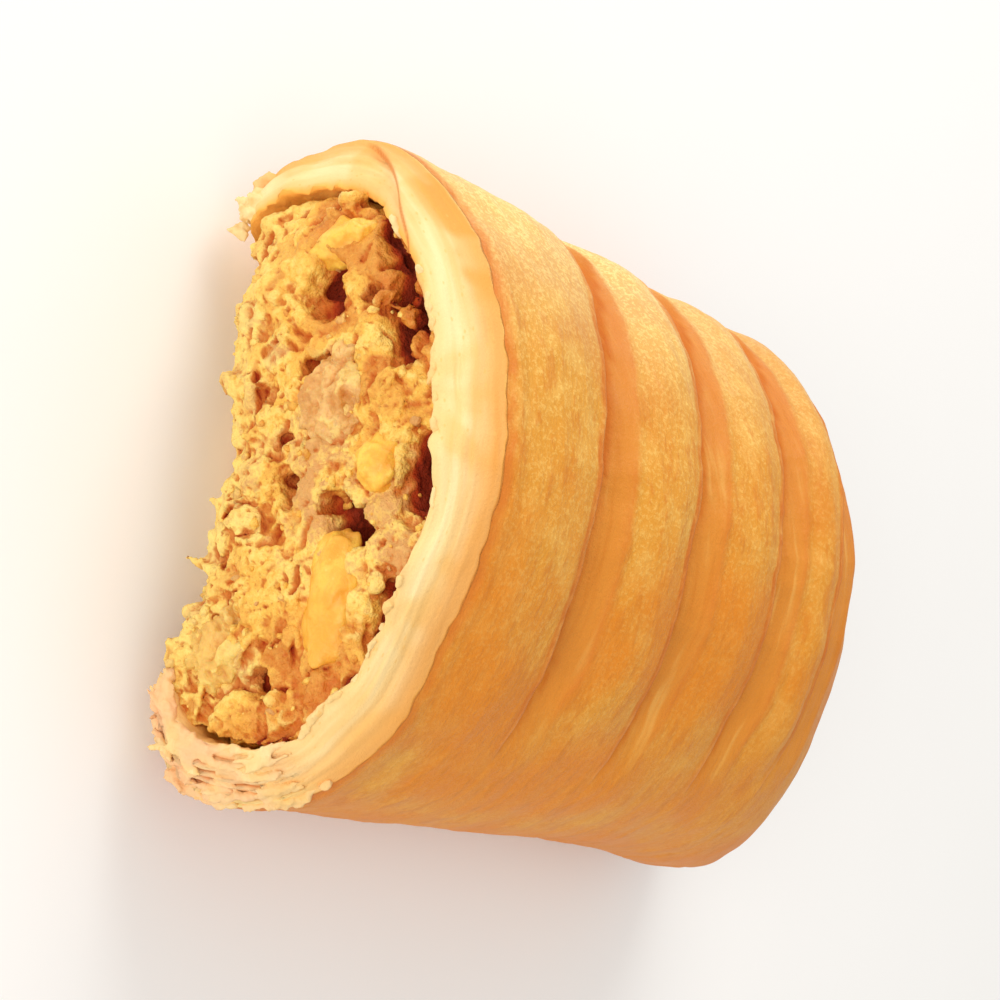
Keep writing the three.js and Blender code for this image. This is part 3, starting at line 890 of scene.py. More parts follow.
def crust_material(colours):
    """Golden baked skin, pinkish cut walls, cream torn dough, all told apart by attributes, with
    painted highlights and painted shade laid over them.
    """
    recipe = Recipe("baked_crust")
    band = recipe.band
    spot = recipe.object_place()
    across = recipe.axis(spot, 0)
    along = recipe.axis(spot, 1)
    height = recipe.axis(spot, 2)
    around = recipe.vector_attribute("grain")
    torn, share, cut, line, gap, layered, deep = map(recipe.attribute, CRUST_MARKS)

    patches = recipe.noise(spot, 70, 2, 0.6)
    blotches = recipe.noise(spot, 260, 3, 0.65)
    speckle = recipe.noise(spot, 2300, 3, 0.8)
    flecks = recipe.noise(recipe.stretched(around, 0.35), 800, 3, 0.7)
    slope = band(across, -0.020, 0.024)
    side = band(height, 0.024, 0.008)
    pale = band(blotches, 0.44, 0.70) * 0.45 + band(speckle, 0.47, 0.64) * 0.6
    pale = pale * (band(patches, 0.62, 0.40, 0.45, 1.0) * (1 - slope * 0.6))
    # Painted highlight: the upper -X side, where the key light falls, is painted paler, less so
    # towards the closed end.
    painted_side_highlight = band(across, -0.006, -0.027) * band(height, 0.008, 0.022)
    painted_side_highlight = painted_side_highlight * band(along, -0.010, 0.020, 1.0, 0.55)
    freckles = band(speckle * 0.7 + flecks * 0.3, 0.46, 0.58)
    skin = recipe.paint(
        colours.crust_gold,
        (colours.crust_brown, band(patches, 0.42, 0.64) * 0.75),
        (colours.crust_side, slope * band(patches, 0.35, 0.6, 0.25, 0.9)),
        (colours.crust_side, side * 0.85),
        (colours.crust_pale, pale * band(side, 0.0, 1.0, 1.0, 0.35)),
        (colours.crust_brown, band(flecks, 0.52, 0.66) * 0.6),
        (colours.painted_highlight_cream, painted_side_highlight * (0.45 + 0.5 * freckles)),
        # Painted shade: the skin is painted darker towards the closed end, most on the end itself.
        (colours.crust_brown, band(along, -0.015, 0.03) * 0.35),
        (colours.crust_end_painted_shade, band(along, 0.027, 0.040) * 0.8),
        (colours.crust_dark, band(height, 0.0024, 0.0) * 0.6),
    )

    streaks = recipe.noise(recipe.stretched(around, 0.1), 900, 2, 0.6)
    wall = recipe.paint(
        colours.cut_dough,
        (colours.crust_brown, band(streaks, 0.5, 0.72) * 0.6),
        (colours.crust_pale, band(streaks, 0.45, 0.25) * 0.35),
        (colours.cut_pink, band(across, 0.0, -0.022) * 0.5),
    )
    browned = band(line, 0.0, 0.9) * band(flecks, 0.3, 0.6, 0.45, 0.95)
    # The lips' crests: pale pink dough, painted lighter still as a highlight, most on the lower lips.
    crest = band(line, 0.0, -0.9) * band(flecks, 0.35, 0.6, 0.7, 1.0)
    crest = crest * band(height, 0.034, 0.020, 0.25, 1.0)
    # Painted shade on the slash floor just behind each lip.
    painted_lip_shade_mask = gap * band(flecks, 0.3, 0.6, 0.25, 0.7) * band(height, 0.018, 0.030)
    skin = recipe.paint(
        skin,
        (wall, cut),
        (colours.browned_line, browned),
        (colours.lip_pink_highlight, crest),
        (colours.painted_crevice_shade, painted_lip_shade_mask),
    )

    bread = recipe.noise(recipe.stretched(around, 0.07), 900, 2, 0.5)
    patch = recipe.noise(spot, 160, 2, 0.5)
    pores = recipe.cells(recipe.stretched(around, 0.5), 1500)
    outer = band(share, 0.66, 0.08) * (0.8 + 0.5 * (bread - 0.5)) * (1 - 0.7 * layered)
    folded = band(across, -0.007, -0.017) * band(share, 0.56, 0.30) * band(height, 0.018, 0.026)
    # Painted glow: the underside of the rim at -X is painted orange, as if lit through the dough.
    painted_arch_glow = band(across, -0.010, -0.017) * band(share, 0.86, 1.0)
    soft = recipe.paint(
        colours.dough_cream,
        (colours.dough_white, band(bread, 0.35, 0.65)),
        (colours.dough_gold, band(patch, 0.48, 0.68) * 0.6),
        (colours.rim_gold, outer),
        (colours.rim_gold, folded * band(patch, 0.40, 0.55) * 0.8),
        (colours.dough_peach, band(share, 0.66, 1.0) * 0.8),
        (colours.painted_inner_glow_and_shade, painted_arch_glow * 0.8),
        (colours.dough_pink, layered * band(patch, 0.36, 0.58) * 0.85),
        (colours.dough_yellow, layered * band(share, 0.42, 0.12) * 0.8),
        (colours.dough_shade, band(line, 0.2, 0.9) * 0.85),
        (colours.dough_gold, band(pores, 0.20, 0.08) * 0.5),
        # Painted shade deeper inside the hollow: orange, then dark red-brown.
        (colours.painted_inner_glow_and_shade, band(deep, 0.02, 0.30) * 0.95),
        (colours.painted_cavity_shade, band(deep, 0.55, 1.0)),
    )

    baked = 1 - torn
    relief = (flecks * 0.9 + speckle * 0.5) * baked + (bread * 0.4 + speckle * 0.5) * torn
    rough = band(blotches, 0.3, 0.7, 0.44, 0.56) * baked + 0.8 * torn + 0.3 * gap
    return recipe.finish(recipe.paint(skin, (soft, torn)), rough, 0.28, relief, 0.00022)


def filling_material(colours):
    """Crumbly yellow curds, from beige to orange by lump, with painted highlights on the highest
    crumbs and painted dark red-brown shade in the hollows.
    """
    recipe = Recipe("curd_filling")
    band = recipe.band
    spot = recipe.object_place()
    valley = recipe.attribute("valley")
    sunk = recipe.attribute("hollow")
    patches = recipe.noise(spot, 300, 3, 0.6)
    fine = recipe.noise(spot, 1300, 3, 0.65)
    grit = recipe.noise(spot, 2600, 2, 0.7)
    tone = recipe.attribute("tone") - recipe.attribute("curd") * 0.34
    tone = tone + (patches - 0.5) * 0.5 + (fine - 0.5) * 0.45 + (grit - 0.5) * 0.2
    stops = (
        (0.0, colours.filling_beige),
        (0.16, colours.filling_beige),
        (0.34, colours.filling_pale),
        (0.50, colours.filling_yellow),
        (0.74, colours.filling_ochre),
        (1.0, colours.filling_orange),
    )
    colour = recipe.paint(
        recipe.ramp(tone, stops),
        (colours.filling_herb, band(recipe.cells(spot, 1100), 0.16, 0.06) * 0.25),
        # Painted highlights on the highest crumbs and the lowest part of the filling; painted shade
        # between the curds, beside the hollows and in them.
        (colours.filling_painted_highlight, band(valley, 0.22, 0.0) * 0.55),
        (colours.filling_painted_highlight, band(recipe.axis(spot, 2), 0.014, 0.007) * 0.45),
        (colours.filling_shade, band(valley, 0.42, 0.80) * 0.75),
        (colours.filling_painted_hollow_shade, band(sunk, 0.18, 0.40) * 0.8),
        (colours.filling_shade, band(fine, 0.56, 0.70) * 0.35),
        (colours.painted_cavity_shade, band(sunk, 0.38, 0.72)),
        (colours.painted_deep_cavity_shade, band(sunk, 0.72, 0.98) * 0.8),
    )
    rough = band(fine, 0.3, 0.7, 0.44, 0.60) + band(sunk, 0.30, 0.60) * 0.4
    return recipe.finish(colour, rough, 0.34, fine + grit * 0.25, 0.00034)


def plain_food_material(name, colours, base, shade, far, fleck, rough, bump):
    """Cheese or vegetable: soft, with painted shade in its hollows and towards its back, painted
    highlights on its highest bumps, and another colour towards +X.
    """
    recipe = Recipe(name)
    band = recipe.band
    spot = recipe.object_place()
    valley = recipe.attribute("valley")
    sunk = recipe.attribute("hollow")
    patches = recipe.noise(spot, 420, 3, 0.6)
    fine = recipe.noise(spot, 1400, 3, 0.65)
    colour = recipe.paint(
        base,
        (shade, band(patches, 0.38, 0.62)),
        (shade, band(fine, 0.50, 0.66) * 0.6),
        # Towards +X: for the cheese a painted shade away from the light, for the vegetable its own
        # colour.
        (far, band(recipe.axis(spot, 0), 0.009, 0.019) * 0.8),
        (fleck, band(recipe.cells(spot, 1000), 0.16, 0.05) * 0.4),
        # Painted highlight on the highest bumps; painted shade in the valleys and where the piece
        # sinks back into the filling.
        (colours.filling_painted_highlight, band(valley, 0.20, 0.0) * 0.4),
        (colours.filling_shade, band(valley, 0.42, 0.85) * 0.6),
        (colours.filling_orange, band(sunk, 0.2, 0.5) * 0.6),
        (colours.painted_cavity_shade, band(sunk, 0.5, 0.8) * 0.8),
    )
    rough = band(fine, 0.3, 0.7, rough - 0.06, rough + 0.08)
    return recipe.finish(colour, rough, 0.45, fine * 0.9, bump, (1.0, 0.55, 0.15))


def floor_material(colours):
    recipe = Recipe("floor")
    grit = recipe.noise(recipe.object_place(), 40, 2, 0.5)
    darker = tuple(0.985 * part for part in colours.floor)
    return recipe.finish(recipe.paint(colours.floor, (darker, grit)), 0.7, 0.2)


# ---- Settings ----

def size_setting(name, description, default, low=0.0, high=10.0):
    return bpy.props.FloatProperty(
        name=name, description=description, default=default, min=low, max=high
    )


def from_screen(value):
    """A linear share of light from the number that a screen shows, 0 to 255."""
    share = value / 255
    return share / 12.92 if share <= 0.04045 else ((share + 0.055) / 1.055) ** 2.4


def colour_setting(name, description, *screen):
    """A colour given as red, green and blue on a screen."""
    return bpy.props.FloatVectorProperty(
        name=name, description=description, subtype="COLOR", size=3, min=0.0, max=1.0,
        default=[from_screen(value) for value in screen],
    )


class StrudelSizes(bpy.types.PropertyGroup):
    """Sizes of the details, in millimetres."""

    row_spacing: size_setting("Row spacing", "Distance between rows on the strips", 0.46)
    wrinkle: size_setting("Wrinkles", "Height of the wrinkles in the crust", 0.35)
    pillow: size_setting("Pillow", "How much each strip is puffed up", 0.75)
    slash_depth: size_setting("Slash depth", "Share of the slashes' full depth", 0.62)
    # Width of the painted shade under each lip.
    painted_crevice_shade: size_setting("Crevice", "Width of the dark line under a lip", 0.22, 0.05)
    edge_curl: size_setting("Edge curl", "Height of the baked edge beside the tear", 0.25)
    rim_bulge: size_setting("Rim bulge", "How much the torn dough is puffed out", 0.75)
    fold: size_setting("Fold", "Height of the crease across the top of the rim", 0.9)
    fray: size_setting("Fray", "Unevenness of the torn dough's inner edge", 0.6)
    layers: size_setting("Layers", "Number of layers in the thick corner", 8.0)
    layer_relief: size_setting("Layer relief", "How far the layers stand out", 0.95)
    voxel: size_setting("Filling detail", "Size of the filling's smallest faces", 0.26)
    crumb: size_setting("Crumb size", "Half the size of a usual crumb", 0.3)


class StrudelColours(bpy.types.PropertyGroup):
    """Colours of the crust, the dough, the filling and the floor."""

    crust_gold: colour_setting("Gold crust", "Main colour", 222, 154, 50)
    crust_side: colour_setting("Side crust", "Lower sides", 226, 133, 26)
    # Painted shade on the closed end.
    crust_end_painted_shade: colour_setting("End crust", "Closed end", 200, 104, 14)
    crust_brown: colour_setting("Brown crust", "Deeper baked colour", 212, 125, 28)
    crust_dark: colour_setting("Dark crust", "Underside", 180, 96, 30)
    crust_pale: colour_setting("Pale crust", "Pale specks", 248, 202, 108)
    # Painted highlight on the lit -X side of the crust.
    painted_highlight_cream: colour_setting("Cream crust", "Where it is palest", 253, 226, 146)
    cut_dough: colour_setting("Cut dough", "Walls of the slashes", 222, 140, 44)
    cut_pink: colour_setting("Pink dough wall", "Their far ends", 222, 130, 46)
    browned_line: colour_setting("Browned line", "Edges of slashes", 214, 120, 34)
    # Pale pink of a lip's crest, painted lighter as a highlight.
    lip_pink_highlight: colour_setting("Lip", "Crest of a slash's lip", 255, 206, 148)
    # Painted shade under the slashes' lips.
    painted_crevice_shade: colour_setting("Crevice", "Under the lips", 204, 100, 20)
    dough_cream: colour_setting("Cream dough", "Torn dough", 243, 203, 134)
    dough_white: colour_setting("White dough", "Torn dough, lightest", 250, 224, 166)
    dough_gold: colour_setting("Gold dough", "Torn dough, patches", 243, 186, 100)
    dough_peach: colour_setting("Peach dough", "Inner edge", 246, 204, 132)
    dough_pink: colour_setting("Pink dough", "Layered corner", 242, 190, 144)
    dough_yellow: colour_setting("Yellow dough", "Corner's border", 252, 228, 150)
    dough_shade: colour_setting("Shaded dough", "Between the layers", 218, 128, 58)
    rim_gold: colour_setting("Rim gold", "Beside the baked edge", 240, 162, 70)
    # Painted shade deep inside the dough and a painted glow under the rim at -X.
    painted_inner_glow_and_shade: colour_setting("Inner wall", "Inside of the dough", 255, 176, 62)
    filling_beige: colour_setting("Beige filling", "Tone 0", 222, 162, 92)
    filling_pale: colour_setting("Pale filling", "Tone 0.3", 252, 214, 112)
    filling_yellow: colour_setting("Yellow filling", "Tone 0.5", 246, 190, 80)
    filling_ochre: colour_setting("Ochre filling", "Tone 0.75", 230, 160, 66)
    filling_orange: colour_setting("Orange filling", "Tone 1", 214, 126, 44)
    filling_shade: colour_setting("Shaded filling", "Between the curds", 212, 130, 44)
    # Painted shade beside a hollow.
    filling_painted_hollow_shade: colour_setting("Deep filling", "Beside a hollow", 206, 106, 28)
    # Painted highlight on the highest crumbs and the filling's lowest part.
    filling_painted_highlight: colour_setting("Light filling", "Highest crumbs", 254, 228, 132)
    filling_herb: colour_setting("Herb flecks", "Small specks", 206, 140, 44)
    # Painted shade in the hollows, darkest at their bottoms.
    painted_cavity_shade: colour_setting("Cavity", "Deep hollows", 172, 56, 10)
    painted_deep_cavity_shade: colour_setting("Deep cavity", "Bottom of a hollow", 126, 34, 6)
    cheese: colour_setting("Cheese", "Melted cheese", 249, 198, 78)
    cheese_deep: colour_setting("Deep cheese", "Its darker parts", 240, 168, 52)
    vegetable: colour_setting("Vegetable", "Cooked vegetable", 236, 186, 112)
    vegetable_deep: colour_setting("Deep vegetable", "Darker parts", 212, 148, 74)
    vegetable_far: colour_setting("Far vegetable", "The lump at +X", 238, 192, 96)
    floor: colour_setting("Floor", "The pale floor", 250.46, 249.89, 248.73)


# ---- Operators ----

class STRUDEL_OT_stage(bpy.types.Operator):
    """Makes the floor, the lights, the world and the camera"""

    bl_idname = "strudel.stage"
    bl_label = "Stage"

    def execute(self, context):
        bm = bmesh.new()
        bmesh.ops.create_grid(bm, x_segments=2, y_segments=2, size=3.0)
        mesh = bpy.data.meshes.new("floor")
        bm.to_mesh(mesh)
        bm.free()
        floor = bpy.data.objects.new("floor", mesh)
        context.scene.collection.objects.link(floor)
        mesh.materials.append(floor_material(context.scene.strudel_colours))
        self.light(context, "key", (-0.50, -0.04, 0.31), 0.40, 1.7)
        self.light(context, "front", (0.14, -0.50, 0.24), 0.40, 1.3)
        world = bpy.data.worlds.new("studio")
        world.use_nodes = True
        back = world.node_tree.nodes["Background"]
        back.inputs["Color"].default_value = (1.0, 0.985, 0.96, 1.0)
        back.inputs["Strength"].default_value = 0.70
        context.scene.world = world
        context.scene.view_settings.view_transform = "Standard"
        self.camera(context)
        return {"FINISHED"}

    def light(self, context, name, place, size, power):
        lamp = bpy.data.lights.new(name, "AREA")
        lamp.shape = "DISK"
        lamp.size = size
        lamp.energy = power
        lamp.color = (1.0, 0.97, 0.92)
        holder = bpy.data.objects.new(name, lamp)
        holder.location = place
        aim = Vector((0.0, 0.0, 0.018)) - Vector(place)
        holder.rotation_euler = aim.to_track_quat("-Z", "Y").to_euler()
        context.scene.collection.objects.link(holder)

    def camera(self, context):
        """The photo's viewpoint, which is turned until the strudel stands in the middle."""
        right = Vector((-0.0762, 0.5685, 0.8191))
        upright = Vector((-0.9790, -0.1985, 0.0467))
        back = Vector((0.1891, -0.7984, 0.5717))
        away = -(-0.0545 * right + 0.0248 * upright - back).normalized()
        side = upright.cross(away).normalized()
        turned = Matrix((side, away.cross(side), away)).transposed()
        lens = bpy.data.cameras.new("camera")
        lens.lens = 71.0
        lens.sensor_width = 36.0
        lens.clip_start = 0.01
        holder = bpy.data.objects.new("camera", lens)
        holder.matrix_world = Matrix.Translation((0.0388, -0.1607, 0.1356)) @ turned.to_4x4()
        context.scene.collection.objects.link(holder)
        context.scene.camera = holder


class STRUDEL_OT_crust(bpy.types.Operator):
    """Makes the baked crust with its slashes and its torn dough"""

    bl_idname = "strudel.crust"
    bl_label = "Crust"

    def execute(self, context):
        look = context.scene.strudel_sizes
        skin = skin_rows(look)
        edge_end = len(skin) + EDGE_ROWS
        torn_end = edge_end + TORN_ROWS
        bm = bmesh.new()
        keys = crust_layers(bm)

        def place(vertex, row, turn):
            angle = top_heavy_angle(turn, COLUMN_CROWD)
            marks = dict.fromkeys(CRUST_MARKS, 0.0)
            if row == 0:
                point = skin_point(skin[0], angle, look)[0]
            elif row < len(skin):
                point, marks["cut"], marks["line"], marks["gap"] = skin_point(skin[row], angle, look)
            elif row < edge_end:
                part = 1 - (row - len(skin) + 1) / EDGE_ROWS
                point = first_strip_point(part, angle, look)
                marks["line"] = 0.7 * ease(part, 0.09, 0.0) + 0.25 * ease(part, 0.42, 0.05)
            elif row < torn_end:
                share = (row - edge_end + 1) / TORN_ROWS
                point, marks["layered"], marks["line"] = torn_point(share, angle, look)
                marks["torn"] = ease(share, 0.0, 0.05)
                marks["share"] = share
            else:
                back = HOLLOW_SHARES[min(row - torn_end, len(HOLLOW_SHARES) - 1)]
                point, marks["deep"] = self.hollow_wall(back, angle, look)
                marks["torn"] = marks["share"] = 1.0
            vertex.co = point
            mark(vertex, keys, marks)
            length = marks["share"] * 6 + marks["deep"] * 12
            if not marks["torn"]:
                length = point.y + LENGTH / 2
            vertex[keys["grain"]] = grain_place(angle, length)

        place_ball(bm, COLUMNS, torn_end + len(HOLLOW_SHARES), place)
        bmesh.ops.remove_doubles(bm, verts=bm.verts, dist=1e-5)
        material = crust_material(context.scene.strudel_colours)
        finish_piece("crust_skin", bm, material, ("crust",))
        return {"FINISHED"}

    def hollow_wall(self, back, angle, look):
        """A point of the wall behind the torn edge, and how deep inside it is."""
        start = torn_edge(angle)
        station = lerp(start, CAVITY_END, back)
        rough = 0.35 * round_grain(angle, 20, station) + 0.4 * round_grain(angle, 9, station)
        point = hollow(station, angle, rough * ease(back, 0.0, 0.02), CAVITY_END)
        first = torn_point(1.0, angle, look)[0]
        point.y += (first.y - (start - LENGTH / 2)) * (1 - back) ** 30
        return point, clamp((station - start) / 12)


class STRUDEL_OT_bits(bpy.types.Operator):
    """Makes the flakes and ragged bits that stand out of the torn dough"""

    bl_idname = "strudel.bits"
    bl_label = "Torn bits"

    def flake(self, bm, angle, share, half, out, look):
        """A lump laid along the rim. Returns its middle, its angle and its share."""
        base = torn_point(share, angle, look)[0]
        ahead = torn_point(share, angle + 0.03, look)[0]
        along = (ahead - base).normalized()
        side = along.cross(puff_direction(angle)).normalized()
        way = side.cross(along)
        tilt = Euler((1.6 * grain(angle * 90), 0.5 * grain(share * 50), 0.3 * grain(angle * 70)))
        made = lumpy_ball(bm, (0, 0, 0), half, tilt, 2, 0.9, angle * 31 + share * 17)
        turn = Matrix((along, way, side)).transposed()
        bmesh.ops.rotate(bm, verts=made, cent=(0, 0, 0), matrix=turn)
        centre = base + way * out
        bmesh.ops.translate(bm, verts=made, vec=centre)
        return centre, angle, share

    def spur(self, bm, angle, share, length, chance, look):
        """A short ragged point that hangs off the rim's end at -X."""
        base = torn_point(share, angle, look)[0]
        way = Vector((chance.uniform(-0.7, 0.3), -0.6, chance.uniform(-0.9, 0.1))).normalized()
        for step in range(3):
            radius = lerp(0.62, 0.34, step / 2) * chance.uniform(0.8, 1.2)
            spot = base + way * (length * step / 2)
            lumpy_ball(bm, spot, (radius, radius, radius), None, 2, 0.8, angle + step)
        return base, angle, share

    def execute(self, context):
        look = context.scene.strudel_sizes
        chance = random.Random(23)
        bm = bmesh.new()
        bits = []
        for count, low_longest, angles, lengths, heights, widths, shares, outs in FLAKES:
            for _index in range(count):
                angle = math.radians(chance.uniform(*angles))
                longest = low_longest if angle < LOW_ON_CORNER else lengths[1]
                ranges = ((lengths[0], longest), heights, widths)
                half = [chance.uniform(*ends) for ends in ranges]
                share = chance.uniform(*shares)
                out = chance.uniform(*outs) if outs else 0.0
                bits.append(self.flake(bm, angle, share, half, out, look))
        for _index in range(HANGING_SPURS):
            angle = math.radians(chance.uniform(204, 222))
            share = chance.uniform(0.1, 0.95)
            bits.append(self.spur(bm, angle, share, chance.uniform(0.3, 1.5), chance, look))
        bm = voxel_fused(bm, BIT_VOXEL)
        soften(bm, bm.verts, 2)
        tree = tree_of([bit[0] for bit in bits])
        keys = crust_layers(bm)
        for vertex in bm.verts:
            spot = vertex.co.copy()
            _centre, angle, share = bits[tree.find(spot)[1]]
            rough = 0.16 * noise.noise(spot / 0.6) + 0.08 * noise.noise(spot / 0.3)
            vertex.co += vertex.normal * rough
            vertex.co.z = max(vertex.co.z, 0.02)
            marks = {"torn": 1.0, "share": clamp(share, 0.35, 0.8), "layered": corner_share(angle)}
            mark(vertex, keys, marks)
            vertex[keys["grain"]] = grain_place(angle, share * 6 + spot.y)
        material = bpy.data.materials["baked_crust"]
        finish_piece("dough_bits", bm, material, turn_out=False)
        return {"FINISHED"}


def in_hole(x, z, grow):
    """Whether a place in the torn face lies in a hole that is scaled by `grow`."""
    return any(hole_distance(hole, x, z) < grow for hole in HOLES)


def hole_distance(hole, x, z):
    """Distance from a hole's middle, with 1 at its edge."""
    return math.hypot((x - hole.x) / hole.across, (z - hole.z) / hole.tall)


def face_station(x, z, edge_share):
    """Station of the torn face, with its holes."""
    station = 3.1 + 1.4 * edge_share ** 4
    station += 0.8 * grain(x / 5.5, z / 5.5, 2.7) + 0.5 * grain(x / 2.2, z / 2.2, 6.3)
    for hole in HOLES:
        station += hole.depth * (1 - ease(hole_distance(hole, x, z), 0.6, 1.35))
    return max(station, 1.0)


def filling_side(station, angle):
    """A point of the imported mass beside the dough, looser near the torn end."""
    point = hollow(station, angle, 0.3, CAVITY_END - 1.2)
    loose = 1 - ease(station, 5, 16)
    above = 0.2 * max(0.0, math.sin(angle))
    below = 2.6 * max(0.0, -math.sin(angle)) ** 2
    crumbs = 0.5 * (0.5 + 0.5 * round_grain(angle, 6, station / 4))
    return inward(point, station, loose * (above + below + crumbs))


def squeezed(y):
    limit = SQUEEZE_FROM - LENGTH / 2
    return y if y < limit else limit + (y - limit) * SQUEEZE


def released(y):
    limit = SQUEEZE_FROM - LENGTH / 2
    return y if y < limit else limit + (y - limit) / SQUEEZE


def raised(centre, deep, tall):
    """Moves a lump up and back until it stays behind the filling's lower outline."""
    x, y, z = centre
    for before, after in zip(LOWER_OUTLINE, LOWER_OUTLINE[1:]):
        if before[0] <= x <= after[0]:
            low = lerp(before[1], after[1], (x - before[0]) / (after[0] - before[0]))
            lean = OUTLINE_LEAN
            reach = math.hypot(lean.y * deep, lean.z * tall)
            short = lean.y * (OUTLINE_Y - y) + lean.z * (low - z) + reach
            return Vector(centre) + lean * max(0.0, short)
    return Vector(centre)


class STRUDEL_OT_filling(bpy.types.Operator):
    """Makes the crumbly filling from fused lumps"""

    bl_idname = "strudel.filling"
    bl_label = "Filling"

    def core(self, bm):
        """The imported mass: a closed ball from the hollow's far end to the torn face."""
        side_rows = len(SIDE_STATIONS)
        total = side_rows + FACE_ROWS

        def place(vertex, row, turn):
            angle = top_heavy_angle(turn, 0.0)
            front = max(torn_edge(angle), 2.4) + 0.8
            if row == 0:
                point = middle(SIDE_STATIONS[0])
            elif row < side_rows:
                share = row / (side_rows - 1)
                station = max(SIDE_STATIONS[row], front)
                point = filling_side(lerp(station, front, ease(share, 0.9, 1.0)), angle)
            else:
                share = 0.0 if row == total else 1 - (row - side_rows + 1) / (FACE_ROWS + 1)
                point = FACE_MIDDLE.lerp(filling_side(front, angle), share)
                station = face_station(point.x, point.z, share)
                joined = lerp(station, max(station, front - 0.5), ease(share, 0.8, 1.0))
                point.y = joined - LENGTH / 2
            point.y = squeezed(point.y)
            vertex.co = point

        place_ball(bm, 96, total, place)

    def add_small_lumps(self, bm, lumps, chance):
        """Scatters small lumps over the torn face, beside its holes and smooth lumps."""
        tries = 0
        while len(lumps) < len(LUMPS) + SMALL_LUMPS and tries < 4000:
            tries += 1
            turn = chance.uniform(0, TAU)
            angle = turn if turn < math.pi else turn - TAU
            share = chance.uniform(0, 1) ** 0.5
            front = max(torn_edge(angle), 3.0) + 1.2
            point = FACE_MIDDLE.lerp(filling_side(front, angle), share * 0.97)
            if in_hole(point.x, point.z, 1.15):
                continue
            size = chance.uniform(0.6, 1.5)
            near = min(LUMPS, key=lambda lump: (lump.x - point.x) ** 2 + (lump.z - point.z) ** 2)
            away = math.hypot((near.x - point.x) / near.across, (near.z - point.z) / near.tall)
            if near.smooth > 0.35 and away < 0.95:
                continue
            surface = face_station(point.x, point.z, share) - LENGTH / 2
            if away < 1:
                surface = min(surface, near.y - near.deep * math.sqrt(1 - away ** 2))
            half = tuple(size * chance.uniform(0.7, 1.3) for _axis in range(3))
            centre = (point.x, surface + size * chance.uniform(0.35, 0.95), point.z)
            centre = raised(centre, half[1], half[2])
            spin = Euler((chance.uniform(0, TAU), chance.uniform(0, TAU), 0))
            lumpy_ball(bm, centre, half, spin, 2, 0.4, chance.uniform(0, 90))
            tone = clamp(near.tone + chance.gauss(0, 0.12))
            lumps.append(Lump(*centre, *half, tone, 0.0))

    def execute(self, context):
        chance = random.Random(41)
        bm = bmesh.new()
        self.core(bm)
        lumps = list(LUMPS)
        for lump in LUMPS:
            turn = Euler((0, chance.uniform(-0.5, 0.5), 0))
            centre = raised(lump[:3], lump.deep, lump.tall)
            lumpy_ball(bm, centre, lump[3:6], turn, 3, 0.35, lump.x + lump.z)
        for x, y, z, radius, tone in SPURS:
            lumpy_ball(bm, (x, y, z), (radius, radius, radius), None, 2, 0.4, x + z)
            lumps.append(Lump(x, y, z, radius, radius, radius, tone, 0.5))
        self.add_small_lumps(bm, lumps, chance)
        bm = voxel_fused(bm, context.scene.strudel_sizes.voxel)
        drop_loose(bm, LEAST_ISLAND)
        self.roughen(bm, lumps)
        self.store(bm, lumps)
        material = filling_material(context.scene.strudel_colours)
        finish_piece("filling_mass", bm, material, ("filling",), turn_out=False)
        return {"FINISHED"}

    def roughen(self, bm, lumps):
        """Gives the fused mass its curds, pits and fine crumbs."""
        soften(bm, [vertex for vertex in bm.verts if vertex.co.y < ROUGH_TO], 2)
        tree = tree_of([lump[:3] for lump in lumps])
        valley_key = bm.verts.layers.float.new("valley")
        curd_key = bm.verts.layers.float.new("curd")
        for vertex in bm.verts:
            spot = vertex.co
            if spot.y > ROUGH_TO:
                continue
            rough = 1 - lumps[tree.find(spot)[1]].smooth
            move, vertex[curd_key] = crumbly(spot)
            move *= 0.35 + 0.65 * rough
            pit = ease(grain(spot.x / 2.4 + 0.5 * spot.z, spot.z / 1.5, 9.0), 0.34, 0.6)
            move -= 0.7 * pit * rough
            # How sunk the relief is: painted shade in the valleys, painted highlight on the peaks.
            vertex[valley_key] = clamp(0.35 - move)
            vertex.co += vertex.normal * move

    def store(self, bm, lumps):
        """Stores each vertex's tone and how hollow its place is, and stretches the back."""
        tone_key = bm.verts.layers.float.new("tone")
        tree = tree_of([lump[:3] for lump in lumps])
        for vertex in bm.verts:
            total = 0.0
            weight = 0.0
            for _place, index, away in tree.find_n(vertex.co, 3):
                pull = 1 / (0.15 + away) ** 3
                total += pull * lumps[index].tone
                weight += pull
            vertex[tone_key] = total / weight
        shade_hollows(bm, 4.0, 14)
        hollow_key = bm.verts.layers.float["hollow"]
        # The holes' floors are marked fully hollow, for the painted shade there.
        for vertex in bm.verts:
            if vertex.co.y < SEEN_TO and in_hole(vertex.co.x, vertex.co.z, 1.5):
                sunk = ease(vertex.co.y + LENGTH / 2, 4.2, 6.2)
                vertex[hollow_key] = max(vertex[hollow_key], sunk)
            vertex.co.y = released(vertex.co.y)


